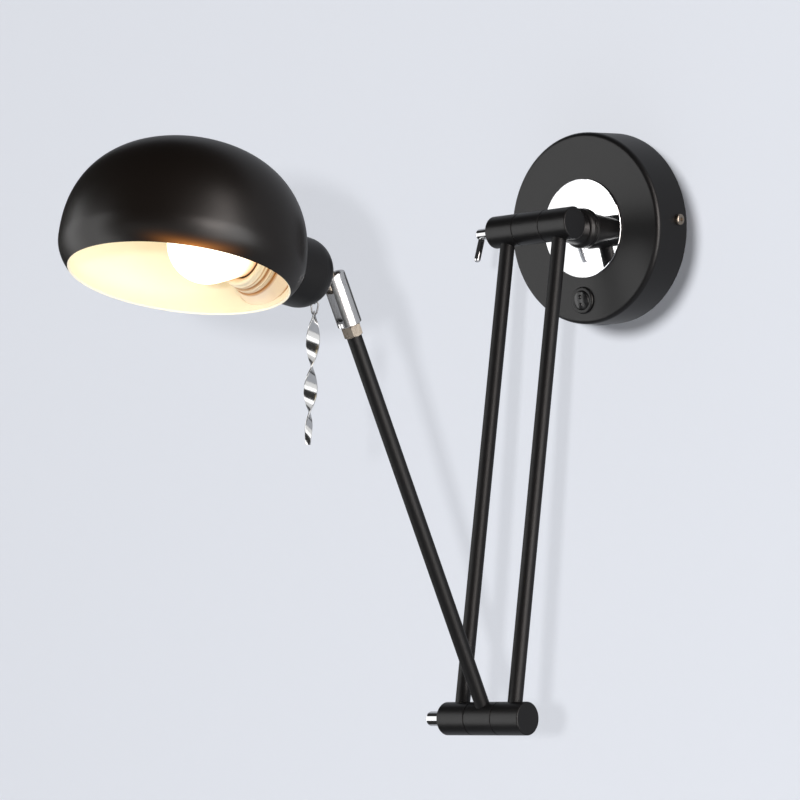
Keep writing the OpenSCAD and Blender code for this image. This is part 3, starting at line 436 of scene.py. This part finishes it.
def surface(name, group, sizes, masks, tones, rough, rough_spread, bump, depth):
    """A material whose tone, gloss and relief follow three outputs of a node group.

    The sizes are the group's own inputs, and the masks name its three outputs.
    """
    material = bpy.data.materials.new(name)
    material.use_nodes = True
    tree = material.node_tree
    shader = tree.nodes["Principled BSDF"]
    place = tree.nodes.new("ShaderNodeTexCoord")
    effect = tree.nodes.new("ShaderNodeGroup")
    effect.name = "effect"
    effect.node_tree = group
    for title, size in sizes.items():
        effect.inputs[title].default_value = size
    tree.links.new(place.outputs["Object"], effect.inputs["Place"])
    tone_mask, gloss_mask, height = (effect.outputs[title] for title in masks)
    tree.links.new(colour_mix(tree, *tones, tone_mask), shader.inputs["Base Color"])
    gloss = tree.nodes.new("ShaderNodeMapRange")
    gloss.inputs["To Min"].default_value = rough - rough_spread
    gloss.inputs["To Max"].default_value = rough + rough_spread
    tree.links.new(gloss_mask, gloss.inputs["Value"])
    tree.links.new(gloss.outputs["Result"], shader.inputs["Roughness"])
    relief = tree.nodes.new("ShaderNodeBump")
    relief.inputs["Strength"].default_value = bump
    relief.inputs["Distance"].default_value = depth
    tree.links.new(height, relief.inputs["Height"])
    tree.links.new(relief.outputs["Normal"], shader.inputs["Normal"])
    return material


def overlay(material, colour, factor):
    """Lays one more colour over a material's base colour, where the factor says."""
    tree = material.node_tree
    base = tree.nodes["Principled BSDF"].inputs["Base Color"]
    tree.links.new(colour_mix(tree, base.links[0].from_socket, colour, factor), base)


# %% One maker for every sprayed or moulded finish
SPRAY_DEPTH, DUST_TONE = 0.2 * MM, 0.6


def finish(name, colour, other_colour, rough, rough_spread, grain_size=900.0,
           cloud_size=18.0, bump=0.02, ior=1.5, specks=0.0):
    """Paint or plastic: clouds change its tone and gloss, the grain gives its relief."""
    material = surface(
        name, peel, {"Grain size": grain_size, "Cloud size": cloud_size},
        ("Clouds", "Clouds", "Height"), (colour, other_colour),
        rough, rough_spread, bump, SPRAY_DEPTH)
    tree = material.node_tree
    share = tree.nodes.new("ShaderNodeMath")
    share.operation = "MULTIPLY"
    share.inputs[1].default_value = specks
    tree.links.new(tree.nodes["effect"].outputs["Specks"], share.inputs[0])
    dust = tuple(DUST_TONE * v for v in other_colour[:3]) + (1.0,)
    overlay(material, dust, share.outputs[0])
    tree.nodes["Principled BSDF"].inputs["IOR"].default_value = ior
    return material


# %% One maker for every metal
POLISH_DEPTH = 0.1 * MM


def metal(name, colour, other_colour, rough, rough_spread, line_size=700.0, bump=0.02):
    """Bare or plated metal: wipe marks change its tone, fine lines its gloss and relief."""
    material = surface(
        name, lines, {"Line size": line_size}, ("Wipes", "Lines", "Lines"),
        (colour, other_colour), rough, rough_spread, bump, POLISH_DEPTH)
    material.node_tree.nodes["Principled BSDF"].inputs["Metallic"].default_value = 1.0
    return material


# %% The finishes
ENAMEL_IOR, ROD_IOR = 1.42, 1.37
black = finish("satin_black", pale(7, 7, 8), pale(11, 10, 10), 0.36, 0.05, bump=0.12,
               ior=ENAMEL_IOR, specks=0.5)
rod_black = finish("rod_black", pale(7, 7, 8), pale(11, 10, 10), 0.47, 0.05, bump=0.12,
                   ior=ROD_IOR, specks=0.5)
switch_black = finish("switch_plastic", pale(12, 12, 13), pale(17, 17, 18), 0.24, 0.03,
                      grain_size=2600)
nylon = finish("nylon", (0.6, 0.57, 0.48, 1), (0.68, 0.65, 0.57, 1), 0.5, 0.05,
               specks=0.2)
dark_nylon = finish("dark_nylon", pale(10, 10, 10), pale(16, 15, 15), 0.5, 0.05)
# The pale resin of the holder and its rings; painted groove shade is laid over it below.
ivory_with_painted_grooves = finish("turned_ivory", pale(240, 226, 198), pale(246, 235, 210), 0.35, 0.05,
                grain_size=1800, specks=0.3)
cream = finish("cream_enamel", pale(246, 238, 214), pale(250, 243, 222), 0.3, 0.05,
               bump=0.1, specks=0.1)
chrome = metal("chrome", (0.84, 0.85, 0.86, 1), (0.9, 0.9, 0.91, 1), 0.06, 0.03)
strip_chrome = metal("hand_polished_strip", (0.8, 0.8, 0.8, 1), (0.92, 0.92, 0.92, 1),
                     0.19, 0.04)
satin_chrome = metal("satin_chrome", (0.78, 0.77, 0.76, 1), (0.86, 0.86, 0.86, 1),
                     0.2, 0.05)
wire = metal("steel_wire", (0.2, 0.2, 0.2, 1), (0.3, 0.3, 0.31, 1), 0.3, 0.05)
mirror = metal("mirror_disc", (0.9, 0.91, 0.92, 1), (0.96, 0.96, 0.97, 1), 0.04, 0.02,
               bump=0.005)
nickel = metal("dull_nickel", (0.31, 0.26, 0.21, 1), (0.47, 0.41, 0.34, 1), 0.28, 0.08)
zinc = metal("zinc_plate", (0.5, 0.52, 0.56, 1), (0.7, 0.72, 0.74, 1), 0.38, 0.1)
brass = metal("bare_brass", (0.66, 0.47, 0.2, 1), (0.82, 0.62, 0.32, 1), 0.28, 0.08)
print("finishes:", [m.name for m in (
    black, rod_black, switch_black, nylon, dark_nylon, ivory_with_painted_grooves, cream, chrome,
    strip_chrome, satin_chrome, wire, mirror, nickel, zinc, brass)])

# %% [markdown]
# ## Painted shade in the grooves of the lamp holder and its rings
#
# The holder is clamped in the shade by a stepped ring and a nut, all of pale moulded
# resin. Warm light pools in every groove and step, and the shade in them is painted on
# here as brown lines round the socket; the flange between them is a speckled grey. The
# painted lines follow the distance along the socket's axis, so a Mapping node first turns
# the coordinates into the socket's own frame.

# %% Node group: distance along the socket
socket, socket_in, socket_out = new_group(
    "distance_along_socket", [("Place", "NodeSocketVector", None)],
    [("Distance", "NodeSocketFloat")])
socket_frame = socket.nodes.new("ShaderNodeMapping")
socket_frame.vector_type = "TEXTURE"
socket_frame.inputs["Location"].default_value = along_socket.to_translation()
socket_frame.inputs["Rotation"].default_value = along_socket.to_euler()
socket.links.new(socket_in.outputs["Place"], socket_frame.inputs["Vector"])
parts = socket.nodes.new("ShaderNodeSeparateXYZ")
socket.links.new(socket_frame.outputs["Vector"], parts.inputs["Vector"])
socket.links.new(parts.outputs["Z"], socket_out.inputs["Distance"])


def along_share(tree, start, end):
    """A value from 0 to 1 between two distances along the socket, in millimetres."""
    distance = tree.nodes.new("ShaderNodeGroup")
    distance.node_tree = socket
    place = tree.nodes["Texture Coordinate"]
    tree.links.new(place.outputs["Object"], distance.inputs["Place"])
    share = tree.nodes.new("ShaderNodeMapRange")
    share.inputs["From Min"].default_value = start * MM
    share.inputs["From Max"].default_value = end * MM
    tree.links.new(distance.outputs["Distance"], share.inputs["Value"])
    return share


socket_axis = along_socket.to_3x3() @ Vector((0, 0, 1))
print("the socket points along", [round(v, 2) for v in socket_axis])

# %% Painted shade in the grooves, at their real places
# Bands of painted shade in the grooves: distance from the tilt pin, half width, depth of
# tone.
SHADED_GROOVES = [(57.0, 1.0, 1.0), (65.6, 1.5, 1.0), (67.9, 0.9, 0.9), (70.2, 1.3, 1.0),
           (72.8, 0.9, 0.7)]  # distance from the tilt pin, half width, depth of tone
GROOVE_FROM, GROOVE_TO = 50.0, 78.0
FLANGE_FROM, FLANGE_TO = 57.4, 64.8
PAINTED_GROOVE_SHADE, FLANGE_GREY, SPECKLE_SCALE = pale(176, 108, 6), pale(236, 214, 200), 1500


def share_along(z):
    """Where a distance from the tilt pin lies on the colour ramps, from 0 to 1."""
    return (z - GROOVE_FROM) / (GROOVE_TO - GROOVE_FROM)


tree = ivory_with_painted_grooves.node_tree
along = along_share(tree, GROOVE_FROM, GROOVE_TO)
painted_groove_shade = tree.nodes.new("ShaderNodeValToRGB")
tree.links.new(along.outputs["Result"], painted_groove_shade.inputs["Fac"])
painted_groove_shade.color_ramp.elements.remove(painted_groove_shade.color_ramp.elements[1])
painted_groove_shade.color_ramp.elements[0].color = (0, 0, 0, 1)
for z, half, tone in SHADED_GROOVES:
    for at, value in ((z - half, 0), (z, tone), (z + half, 0)):
        stop = painted_groove_shade.color_ramp.elements.new(share_along(at))
        stop.color = (value, value, value, 1)
flange = tree.nodes.new("ShaderNodeValToRGB")
flange.color_ramp.interpolation = "CONSTANT"
flange.color_ramp.elements[0].color = (0, 0, 0, 1)
flange.color_ramp.elements[1].position = share_along(FLANGE_FROM)
flange.color_ramp.elements[1].color = (1, 1, 1, 1)
flange_end = flange.color_ramp.elements.new(share_along(FLANGE_TO))
flange_end.color = (0, 0, 0, 1)
tree.links.new(along.outputs["Result"], flange.inputs["Fac"])
speckle = tree.nodes.new("ShaderNodeTexNoise")
speckle.inputs["Scale"].default_value = SPECKLE_SCALE
tree.links.new(tree.nodes["Texture Coordinate"].outputs["Object"], speckle.inputs["Vector"])
speckled = tree.nodes.new("ShaderNodeMath")
speckled.operation = "MULTIPLY"
tree.links.new(flange.outputs["Color"], speckled.inputs[0])
tree.links.new(speckle.outputs["Fac"], speckled.inputs[1])
overlay(ivory_with_painted_grooves, FLANGE_GREY, speckled.outputs[0])
# Lays the painted shade of the grooves over the resin's own colour.
overlay(ivory_with_painted_grooves, PAINTED_GROOVE_SHADE, painted_groove_shade.outputs["Color"])
print("grooves lie", [z for z, half, tone in SHADED_GROOVES], "mm from the tilt pin")

# %% [markdown]
# ## Painted warm glow over the mouth
#
# Just above the middle of the mouth the enamel shows a small orange glow. It is a painted
# glow: the sheet is no lamp, yet its enamel gives off light there. It could be a small lamp
# under the edge, but that would light the inside too. So the dome gets its own copy of the
# enamel, in which one soft mask, long beside the mouth and short above it, drives a faint
# painted emission. The distance from the brightest place is raised to a power, so that the
# painted glow dies away fast.

# %% Enamel with a painted warm glow at its edge
GLOW_TURN, GLOW_OUT, GLOW_BELOW = 323.5, 62, -15.4
GLOW_SIZE, GLOW_POWER, PAINTED_GLOW_COLOUR = (14, 80, 11), 5, pale(206, 128, 56)
# The dome's own enamel, which carries the painted glow near the mouth.
dome_black = finish("dome_black", pale(10, 7, 5), pale(14, 10, 8), 0.36, 0.05, bump=0.12,
                    ior=ENAMEL_IOR, specks=0.5)
at_painted_glow = at_shade @ turn(GLOW_TURN, "Z") @ shift(GLOW_OUT, 0, GLOW_BELOW)
tree = dome_black.node_tree
place = tree.nodes["Texture Coordinate"]
painted_glow_frame = tree.nodes.new("ShaderNodeMapping")
painted_glow_frame.vector_type = "TEXTURE"
painted_glow_frame.inputs["Location"].default_value = at_painted_glow.to_translation()
painted_glow_frame.inputs["Rotation"].default_value = at_painted_glow.to_euler()
painted_glow_frame.inputs["Scale"].default_value = [size * MM for size in GLOW_SIZE]
tree.links.new(place.outputs["Object"], painted_glow_frame.inputs["Vector"])
from_middle = tree.nodes.new("ShaderNodeVectorMath")
from_middle.operation = "LENGTH"
tree.links.new(painted_glow_frame.outputs["Vector"], from_middle.inputs[0])
fade = tree.nodes.new("ShaderNodeMapRange")
fade.inputs["From Min"].default_value = 1
fade.inputs["From Max"].default_value = 0
tree.links.new(from_middle.outputs["Value"], fade.inputs["Value"])
painted_glow_mask = tree.nodes.new("ShaderNodeMath")
painted_glow_mask.operation = "POWER"
painted_glow_mask.inputs[1].default_value = GLOW_POWER
tree.links.new(fade.outputs["Result"], painted_glow_mask.inputs[0])
# The painted glow: warm emission on the enamel, brightest at the mask's middle.
painted_glow = colour_mix(tree, (0, 0, 0, 1), PAINTED_GLOW_COLOUR, painted_glow_mask.outputs[0])
shader = tree.nodes["Principled BSDF"]
tree.links.new(painted_glow, shader.inputs["Emission Color"])
shader.inputs["Emission Strength"].default_value = 1.0
print("the glow sits at", [round(v / MM) for v in at_painted_glow.to_translation()], "mm")

# %% [markdown]
# ## The lit bulb
#
# Opal glass is lit from within, so it is brightest where one looks straight into it, and a
# little yellower and dimmer towards its edge and down in its neck. A facing mask from
# Layer Weight drives the first, the distance along the socket the second, and faint
# clouds stand for the uneven coating inside the glass.

# %% Lit opal glass
NECK_FROM, NECK_TO = 77, 90
BULB_MIDDLE, BULB_EDGE = (1.0, 0.9, 0.7, 1), (0.95, 0.76, 0.5, 1)
BULB_NECK = (0.25, 0.1, 0.03, 1)
EDGE_BLEND, COATING_SHARE, BULB_STRENGTH = 0.35, 0.15, 1.8
bulb_glow = finish("lit_opal_glass", pale(252, 248, 236), pale(255, 252, 243), 0.25, 0.04)
tree = bulb_glow.node_tree
facing = tree.nodes.new("ShaderNodeLayerWeight")
facing.inputs["Blend"].default_value = EDGE_BLEND
lit = colour_mix(tree, BULB_MIDDLE, BULB_EDGE, facing.outputs["Facing"])
coating = tree.nodes["effect"].outputs["Clouds"]
uneven = colour_mix(tree, lit, coating, COATING_SHARE, "MULTIPLY")
neck = along_share(tree, NECK_FROM, NECK_TO)
neck.interpolation_type = "SMOOTHSTEP"
necked = colour_mix(tree, BULB_NECK, uneven, neck.outputs["Result"])
shader = tree.nodes["Principled BSDF"]
tree.links.new(necked, shader.inputs["Emission Color"])
shader.inputs["Emission Strength"].default_value = BULB_STRENGTH
print("bulb glows with strength", BULB_STRENGTH)

# %% Give each node its finish
wears = {
    black: ["wall_plate", "neck_stem", "shoulder_barrel", "shoulder_knuckle_left",
            "shoulder_knuckle_right", "elbow_knuckle_left", "elbow_knuckle_right",
            "elbow_barrel", "socket_cup", "shade", "switch_body"],
    rod_black: ["fork_rod_left", "fork_rod_right", "forearm_rod"],
    chrome: ["shoulder_clamp_nut", "shoulder_lever", "elbow_clamp_nut", "elbow_lever",
             "twisted_drop"],
    satin_chrome: ["clevis", "tilt_pin"],
    wire: ["pendant_eye", "pendant_link"],
    mirror: ["rose_disc"],
    nickel: ["plate_side_screws", "lock_nut", "bulb_cap", "head_tongue"],
    zinc: ["wall_bracket", "neck_washer", "neck_nut", "tongue_nut", "shoulder_stud",
           "elbow_stud"],
    brass: ["earth_screw", "switch_tabs", "holder_sleeve", "holder_contact"],
    switch_black: ["switch_rocker"],
    nylon: ["neck_bush", "terminal_block"],
    dark_nylon: ["shoulder_washers", "elbow_washers"],
    ivory_with_painted_grooves: ["lamp_holder", "shade_ring", "ring_nut"],
    bulb_glow: ["bulb_glass"],
}
for material, names in wears.items():
    for name in names:
        slots = nodes[name].data.materials
        slots.clear()
        slots.append(material)
dressed = {name for names in wears.values() for name in names}
print("nodes without a finish:", sorted(set(nodes) - dressed))

# %% [markdown]
# ## The shade
#
# The real shade is one sheet of spun metal, a squarish dome whose mouth is drawn in a
# little, black outside and cream inside. Spinning is also the natural way to make it in
# Blender: half of its outline is drawn point by point, the spin tool turns it into a
# bowl, and Solidify gives the sheet its thickness and its second finish inside.

# %% Draw an outline and spin it
MERGE = 1e-6


def draw_outline(name, points):
    """An edge chain through (radius, height) points in millimetres, left in edit mode."""
    bpy.ops.object.select_all(action="DESELECT")
    first = Vector((points[0][0], 0, points[0][1])) * MM
    bpy.ops.mesh.primitive_plane_add(size=2 * MM, location=first)
    piece = bpy.context.object
    piece.name = piece.data.name = name
    bpy.ops.object.mode_set(mode="EDIT")
    bpy.ops.mesh.select_mode(type="VERT")
    bpy.ops.mesh.select_all(action="SELECT")
    bpy.ops.mesh.merge(type="CENTER")
    for before, after in zip(points, points[1:]):
        step = Vector((after[0] - before[0], 0, after[1] - before[1])) * MM
        bpy.ops.mesh.extrude_region_move(TRANSFORM_OT_translate={"value": step})
    return piece


def spin_outline(piece, steps):
    """Turns the drawn outline round the Z axis, closes its seam and faces it outwards."""
    bpy.ops.mesh.select_all(action="SELECT")
    bpy.ops.mesh.spin(steps=steps, angle=2 * math.pi, center=(0, 0, 0), axis=(0, 0, 1))
    bpy.ops.mesh.select_all(action="SELECT")
    bpy.ops.mesh.remove_doubles(threshold=MERGE)
    bpy.ops.mesh.normals_make_consistent(inside=False)
    bpy.ops.object.mode_set(mode="OBJECT")
    bpy.ops.object.transform_apply(location=True, rotation=True, scale=True)
    return piece


# %% Outline of the dome
SHADE_RISE, FULLNESS, MOUTH_DRAW, MOUTH_CURL = 61.6, 2.3, 7, 35.6
SHEET = 1.2
DOME_STEPS, CURL_STEPS, ROUND_STEPS = 40, 8, 128
power = 2 / FULLNESS
curl_end = math.acos(1 - MOUTH_DRAW / SHADE_R)
dome = [
    (SHADE_R * math.sin(a) ** power, SHADE_RISE * math.cos(a) ** power)
    for a in (math.pi / 2 * i / DOME_STEPS for i in range(DOME_STEPS + 1))
]
dome += [
    (SHADE_R * math.cos(a), -MOUTH_CURL * math.sin(a))
    for a in (curl_end * i / CURL_STEPS for i in range(1, CURL_STEPS + 1))
]
MOUTH_DROP = -dome[-1][1]
print("mouth lies", round(MOUTH_DROP, 2), "mm below the widest line")

# %% Spin the dome and give the sheet its thickness
shade = spin_outline(draw_outline("shade_dome", dome), ROUND_STEPS)
shade.data.materials.append(dome_black)
shade.data.materials.append(cream)
sheet = shade.modifiers.new("sheet", "SOLIDIFY")
sheet.thickness = SHEET * MM
sheet.offset = -1
sheet.use_even_offset = True
sheet.material_offset = 1
sheet.material_offset_rim = 1
bpy.ops.object.modifier_apply(modifier="sheet")
bpy.ops.object.shade_smooth_by_angle(angle=math.radians(40))
print("dome faces:", len(shade.data.polygons))

# %% Cut one shape with another


def combine(piece, tool, operation):
    """Applies a boolean of a helper shape to a piece and removes the helper."""
    bpy.ops.object.select_all(action="DESELECT")
    bpy.context.view_layer.objects.active = piece
    piece.select_set(True)
    step = piece.modifiers.new("step", "BOOLEAN")
    step.operation = operation
    step.object = tool
    bpy.ops.object.modifier_apply(modifier="step")
    bpy.data.objects.remove(tool)


def cylinder(radius, depth, sides, place):
    """A helper cylinder, its radius and depth in millimetres."""
    bpy.ops.object.select_all(action="DESELECT")
    bpy.ops.mesh.primitive_cylinder_add(
        vertices=sides, radius=radius * MM, depth=depth * MM)
    rod = bpy.context.object
    rod.data.transform(place)
    return rod


# %% Cut the hole for the lamp holder, and hang the shade
HOLDER_R, PASS_CLEAR, PASS_DEPTH, PASS_SIDES = 18.8, 0.2, 30, 96


def put(piece, place, body):
    """Moves a finished piece to its place, which its mesh keeps, and lets it ride."""
    piece.data.transform(place)
    piece.matrix_world = Matrix.Identity(4)
    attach(piece, body)
    return piece


at_wall = at_shade.inverted() @ along_socket @ shift(0, 0, WALL_AT)
pass_hole = cylinder(HOLDER_R + PASS_CLEAR, PASS_DEPTH, PASS_SIDES, at_wall)
combine(shade, pass_hole, "DIFFERENCE")
put(shade, at_shade, "head")
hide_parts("shade")
print("dome faces after the hole:", len(shade.data.polygons))

# %% [markdown]
# ## The twisted drop
#
# A flat strip of polished metal, twisted into a slow helix, hangs from the cup by a wire
# link. It could be one strip under a twist modifier, but the real one twists tighter
# towards its foot and changes its width on the way. So one small section is extruded
# downwards step by step, and each step is turned and resized a little.

# %% Frame and form of the strip
PENDANT_TURN, PENDANT_LEAN, EYE_RING_R, STRIP_TOP = 43, 3, 1.8, 5.93
STRIP_LENGTH, HALF_TURN, TIGHTENING = 77, 32.1, 1.15
STRIP_WIDTH, STRIP_DEPTH, TIP_WIDTH, TIP_DEPTH = 7.9, 1.0, 3.6, 0.8
WIDENS_BY, NARROWS_FROM, THICK_BY = 0.12, 0.72, 0.2  # shares of the length
EYE_PLACE = (3.788, -271.641, -45.1)
at_strip = (
    shift(*EYE_PLACE)
    @ turn(PENDANT_TURN, "Z")
    @ turn(PENDANT_LEAN, "Y")
    @ shift(0, 0, EYE_RING_R - STRIP_TOP)
)


def strip_width(share):
    """The width at a share of the length: it swells below the top and thins to the tip."""
    if share < WIDENS_BY:
        part = math.sin(math.pi / 2 * share / WIDENS_BY)
    elif share < NARROWS_FROM:
        part = 1
    else:
        part = 1 - math.sin(math.pi / 2 * (share - NARROWS_FROM) / (1 - NARROWS_FROM))
    return TIP_WIDTH + (STRIP_WIDTH - TIP_WIDTH) * part


def strip_depth(share):
    """The thickness at a share of the length."""
    part = math.sin(math.pi / 2 * min(1, share / THICK_BY))
    return TIP_DEPTH + (STRIP_DEPTH - TIP_DEPTH) * part


def strip_angle(share):
    """The turn in degrees at a share of the length, quicker towards the foot."""
    return 90 - 180 * (share * STRIP_LENGTH / HALF_TURN) ** TIGHTENING


print("the strip makes", round((90 - strip_angle(1)) / 360, 2), "turns")

# %% Extrude and twist the strip
STRIP_STEPS = 120
EDGE_BREAK = 0.2


def turn_section(degrees):
    """Turns what is selected about Z; without a window the operator turns the other way."""
    bpy.ops.transform.rotate(
        value=-math.radians(degrees), orient_axis="Z", center_override=(0, 0, 0))


bpy.ops.object.select_all(action="DESELECT")
bpy.ops.mesh.primitive_plane_add(size=MM)
strip = bpy.context.object
strip.name = strip.data.name = "twisted_strip"
bpy.ops.object.mode_set(mode="EDIT")
bpy.ops.mesh.select_all(action="SELECT")
bpy.ops.transform.resize(
    value=(strip_width(0), strip_depth(0), 1), center_override=(0, 0, 0))
bpy.ops.mesh.bevel(offset=EDGE_BREAK * MM, segments=2, affect="VERTICES")
turn_section(strip_angle(0))
for step in range(1, STRIP_STEPS + 1):
    share, before = step / STRIP_STEPS, (step - 1) / STRIP_STEPS
    bpy.ops.mesh.extrude_region_move(
        TRANSFORM_OT_translate={"value": (0, 0, -STRIP_LENGTH / STRIP_STEPS * MM)})
    turn_section(-strip_angle(before))
    wider = strip_width(share) / strip_width(before)
    thicker = strip_depth(share) / strip_depth(before)
    bpy.ops.transform.resize(value=(wider, thicker, 1), center_override=(0, 0, 0))
    turn_section(strip_angle(share))
bpy.ops.mesh.select_all(action="SELECT")
bpy.ops.mesh.normals_make_consistent(inside=False)
bpy.ops.object.mode_set(mode="OBJECT")
bpy.ops.object.shade_smooth_by_angle(angle=math.radians(35))
strip.data.materials.append(strip_chrome)
print("strip faces:", len(strip.data.polygons))

# %% Drill the strip's hole and hang it up
HOLE_R, HOLE_AT, DRILL_LENGTH, DRILL_SIDES = 1.0, 2.2, 8, 24
drill = cylinder(HOLE_R, DRILL_LENGTH, DRILL_SIDES, shift(0, 0, -HOLE_AT) @ turn(90, "Y"))
combine(strip, drill, "DIFFERENCE")
put(strip, at_strip, "drop")
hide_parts("twisted_drop")
print("strip hangs from", [round(v / MM, 1) for v in at_strip.to_translation()], "mm")

# %% [markdown]
# ## The lock nut
#
# A plated hexagon nut locks the clevis on the forearm. Its corners are turned off at both
# ends, which a plain six-sided cylinder doesn't show. As on a lathe, the hexagon is cut
# down to the form of a bevelled round, and then bored for the stud.

# %% Turn the corners off a hexagon
NUT_FLATS, NUT_HEIGHT, NUT_START, NUT_TURN, NUT_CHAMFER, STUD_R = 11, 7, 249, 14, 0.9, 3
BAR_OVER, BAR_SIDES, BORE_SIDES = 0.02, 96, 48
corner_r = NUT_FLATS / 2 / math.cos(math.radians(30))
nut = cylinder(corner_r, NUT_HEIGHT, 6, turn(30, "Z"))
nut.name = nut.data.name = "chamfered_nut"
round_bar = cylinder(corner_r + BAR_OVER, NUT_HEIGHT + BAR_OVER, BAR_SIDES, shift(0, 0, 0))
bpy.ops.object.mode_set(mode="EDIT")
bpy.ops.mesh.select_all(action="DESELECT")
bpy.ops.mesh.select_mode(type="EDGE")
bpy.ops.mesh.edges_select_sharp(sharpness=math.radians(60))
bpy.ops.mesh.bevel(offset=NUT_CHAMFER * MM, segments=1, affect="EDGES")
bpy.ops.object.mode_set(mode="OBJECT")
combine(nut, round_bar, "INTERSECT")
combine(nut, cylinder(STUD_R, 2 * NUT_HEIGHT, BORE_SIDES, shift(0, 0, 0)), "DIFFERENCE")
bpy.ops.object.shade_smooth_by_angle(angle=math.radians(20))
nut.data.materials.append(nickel)
put(nut, at_forearm @ turn(NUT_TURN, "Z") @ shift(0, 0, NUT_START + NUT_HEIGHT / 2),
    "forearm")
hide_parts("lock_nut")
print("nut across its corners:", round(2 * corner_r, 2), "mm, faces:",
      len(nut.data.polygons))

# %% [markdown]
# ## The switch rocker
#
# The rocker is a round, glossy, cushioned button with two raised dots, one for each side.
# A disc could be bevelled, but its crown would stay flat. An outline with a crowned top
# is spun instead, and a small ball is sunk into it for one dot and copied for the other.

# %% Spin the crowned button
BUTTON_R, BUTTON_FOOT, BUTTON_EDGE, BUTTON_CROWN, CORNER = 6.0, -2.4, 1.3, 2.3, 0.5
CORNER_ANGLES, CROWN_STEPS, BUTTON_STEPS = (30, 60, 80), 8, 64
crown = [(0, BUTTON_FOOT), (BUTTON_R, BUTTON_FOOT), (BUTTON_R, BUTTON_EDGE - CORNER)]
crown += [
    (BUTTON_R - CORNER + CORNER * math.cos(a), BUTTON_EDGE - CORNER + CORNER * math.sin(a))
    for a in (math.radians(v) for v in CORNER_ANGLES)
]
top_r, top_z = crown[-1]
crown += [
    (top_r * part, top_z + (BUTTON_CROWN - top_z) * (1 - part ** 2))
    for part in (1 - i / CROWN_STEPS for i in range(1, CROWN_STEPS + 1))
]
button = spin_outline(draw_outline("rocker_button", crown), BUTTON_STEPS)
bpy.ops.object.shade_smooth_by_angle(angle=math.radians(40))
print("plain button faces:", len(button.data.polygons))

# %% Sink its two dots and set it in the switch
DOT_R, DOT_OUT, DOT_AT, DOT_SEGMENTS, DOT_RINGS = 1.5, 2.45, 1.7, 24, 16
PIVOT_OUT, SWITCH_DROP, HALF_THROW, BUTTON_LIFT = 28.2, 45, 8, 0.8
bpy.ops.object.select_all(action="DESELECT")
bpy.ops.mesh.primitive_uv_sphere_add(
    segments=DOT_SEGMENTS, ring_count=DOT_RINGS, radius=DOT_R * MM)
bpy.ops.object.shade_smooth()
dot = bpy.context.object
dot.data.transform(shift(0, -DOT_OUT, DOT_AT))
bpy.ops.object.duplicate()
bpy.context.object.data.transform(shift(0, 2 * DOT_OUT, 0))
dot.select_set(True)
button.select_set(True)
bpy.context.view_layer.objects.active = button
bpy.ops.object.join()
button.data.materials.append(switch_black)
put(button, shift(0, -PIVOT_OUT, -SWITCH_DROP) @ turn(HALF_THROW, "X") @ turn(90, "X")
    @ shift(0, 0, BUTTON_LIFT), "rocker")
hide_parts("switch_rocker")
print("button faces with its dots:", len(button.data.polygons))

# %% [markdown]
# ## Which light falls on what
#
# The soft boxes light the lamp alone, so they leave the wall even. The twisted strip is
# taken out of their group and sees its own four boxes, and the dome also sees the low box
# that belongs to it. The key is hung twice, with the same direction and strength: once for
# the wall, where only the plate stands in its way, and once for the lamp, where everything
# does.

# %% Light groups


def light_group(name, pieces):
    """A collection that light linking can name."""
    group = bpy.data.collections.new(name)
    for piece in pieces:
        group.objects.link(piece)
    return group


ground = (wall, floor)
lamp = [o for o in bpy.data.objects if o.type == "MESH" and o not in ground]
lit_by = (
    (boxes, light_group("lamp_pieces", [piece for piece in lamp if piece != strip])),
    (shade_boxes, light_group("shade_pieces", [shade])),
    (strip_boxes, light_group("strip_pieces", [strip])),
    ([lamp_key], light_group("key_pieces", lamp)),
    ([wall_key], light_group("ground", ground)),
)
for holders, group in lit_by:
    for holder in holders:
        holder.light_linking.receiver_collection = group
wall_key.light_linking.blocker_collection = light_group(
    "plate_pieces", [nodes[n] for n in ("wall_plate", "rose_disc", "switch_body")])

# %% [markdown]
# ## The dressed lamp's box
#
# The dressed lamp's box is printed beside the imported model's box.

# %% Measure and finish
dressed_box = [list(corner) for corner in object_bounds()]
for axis, low, high, cad_low, cad_high in zip("XYZ", *dressed_box, *cad_box):
    print(axis, "dressed", round(low / MM, 2), round(high / MM, 2),
          "cad", round(cad_low / MM, 2), round(cad_high / MM, 2))
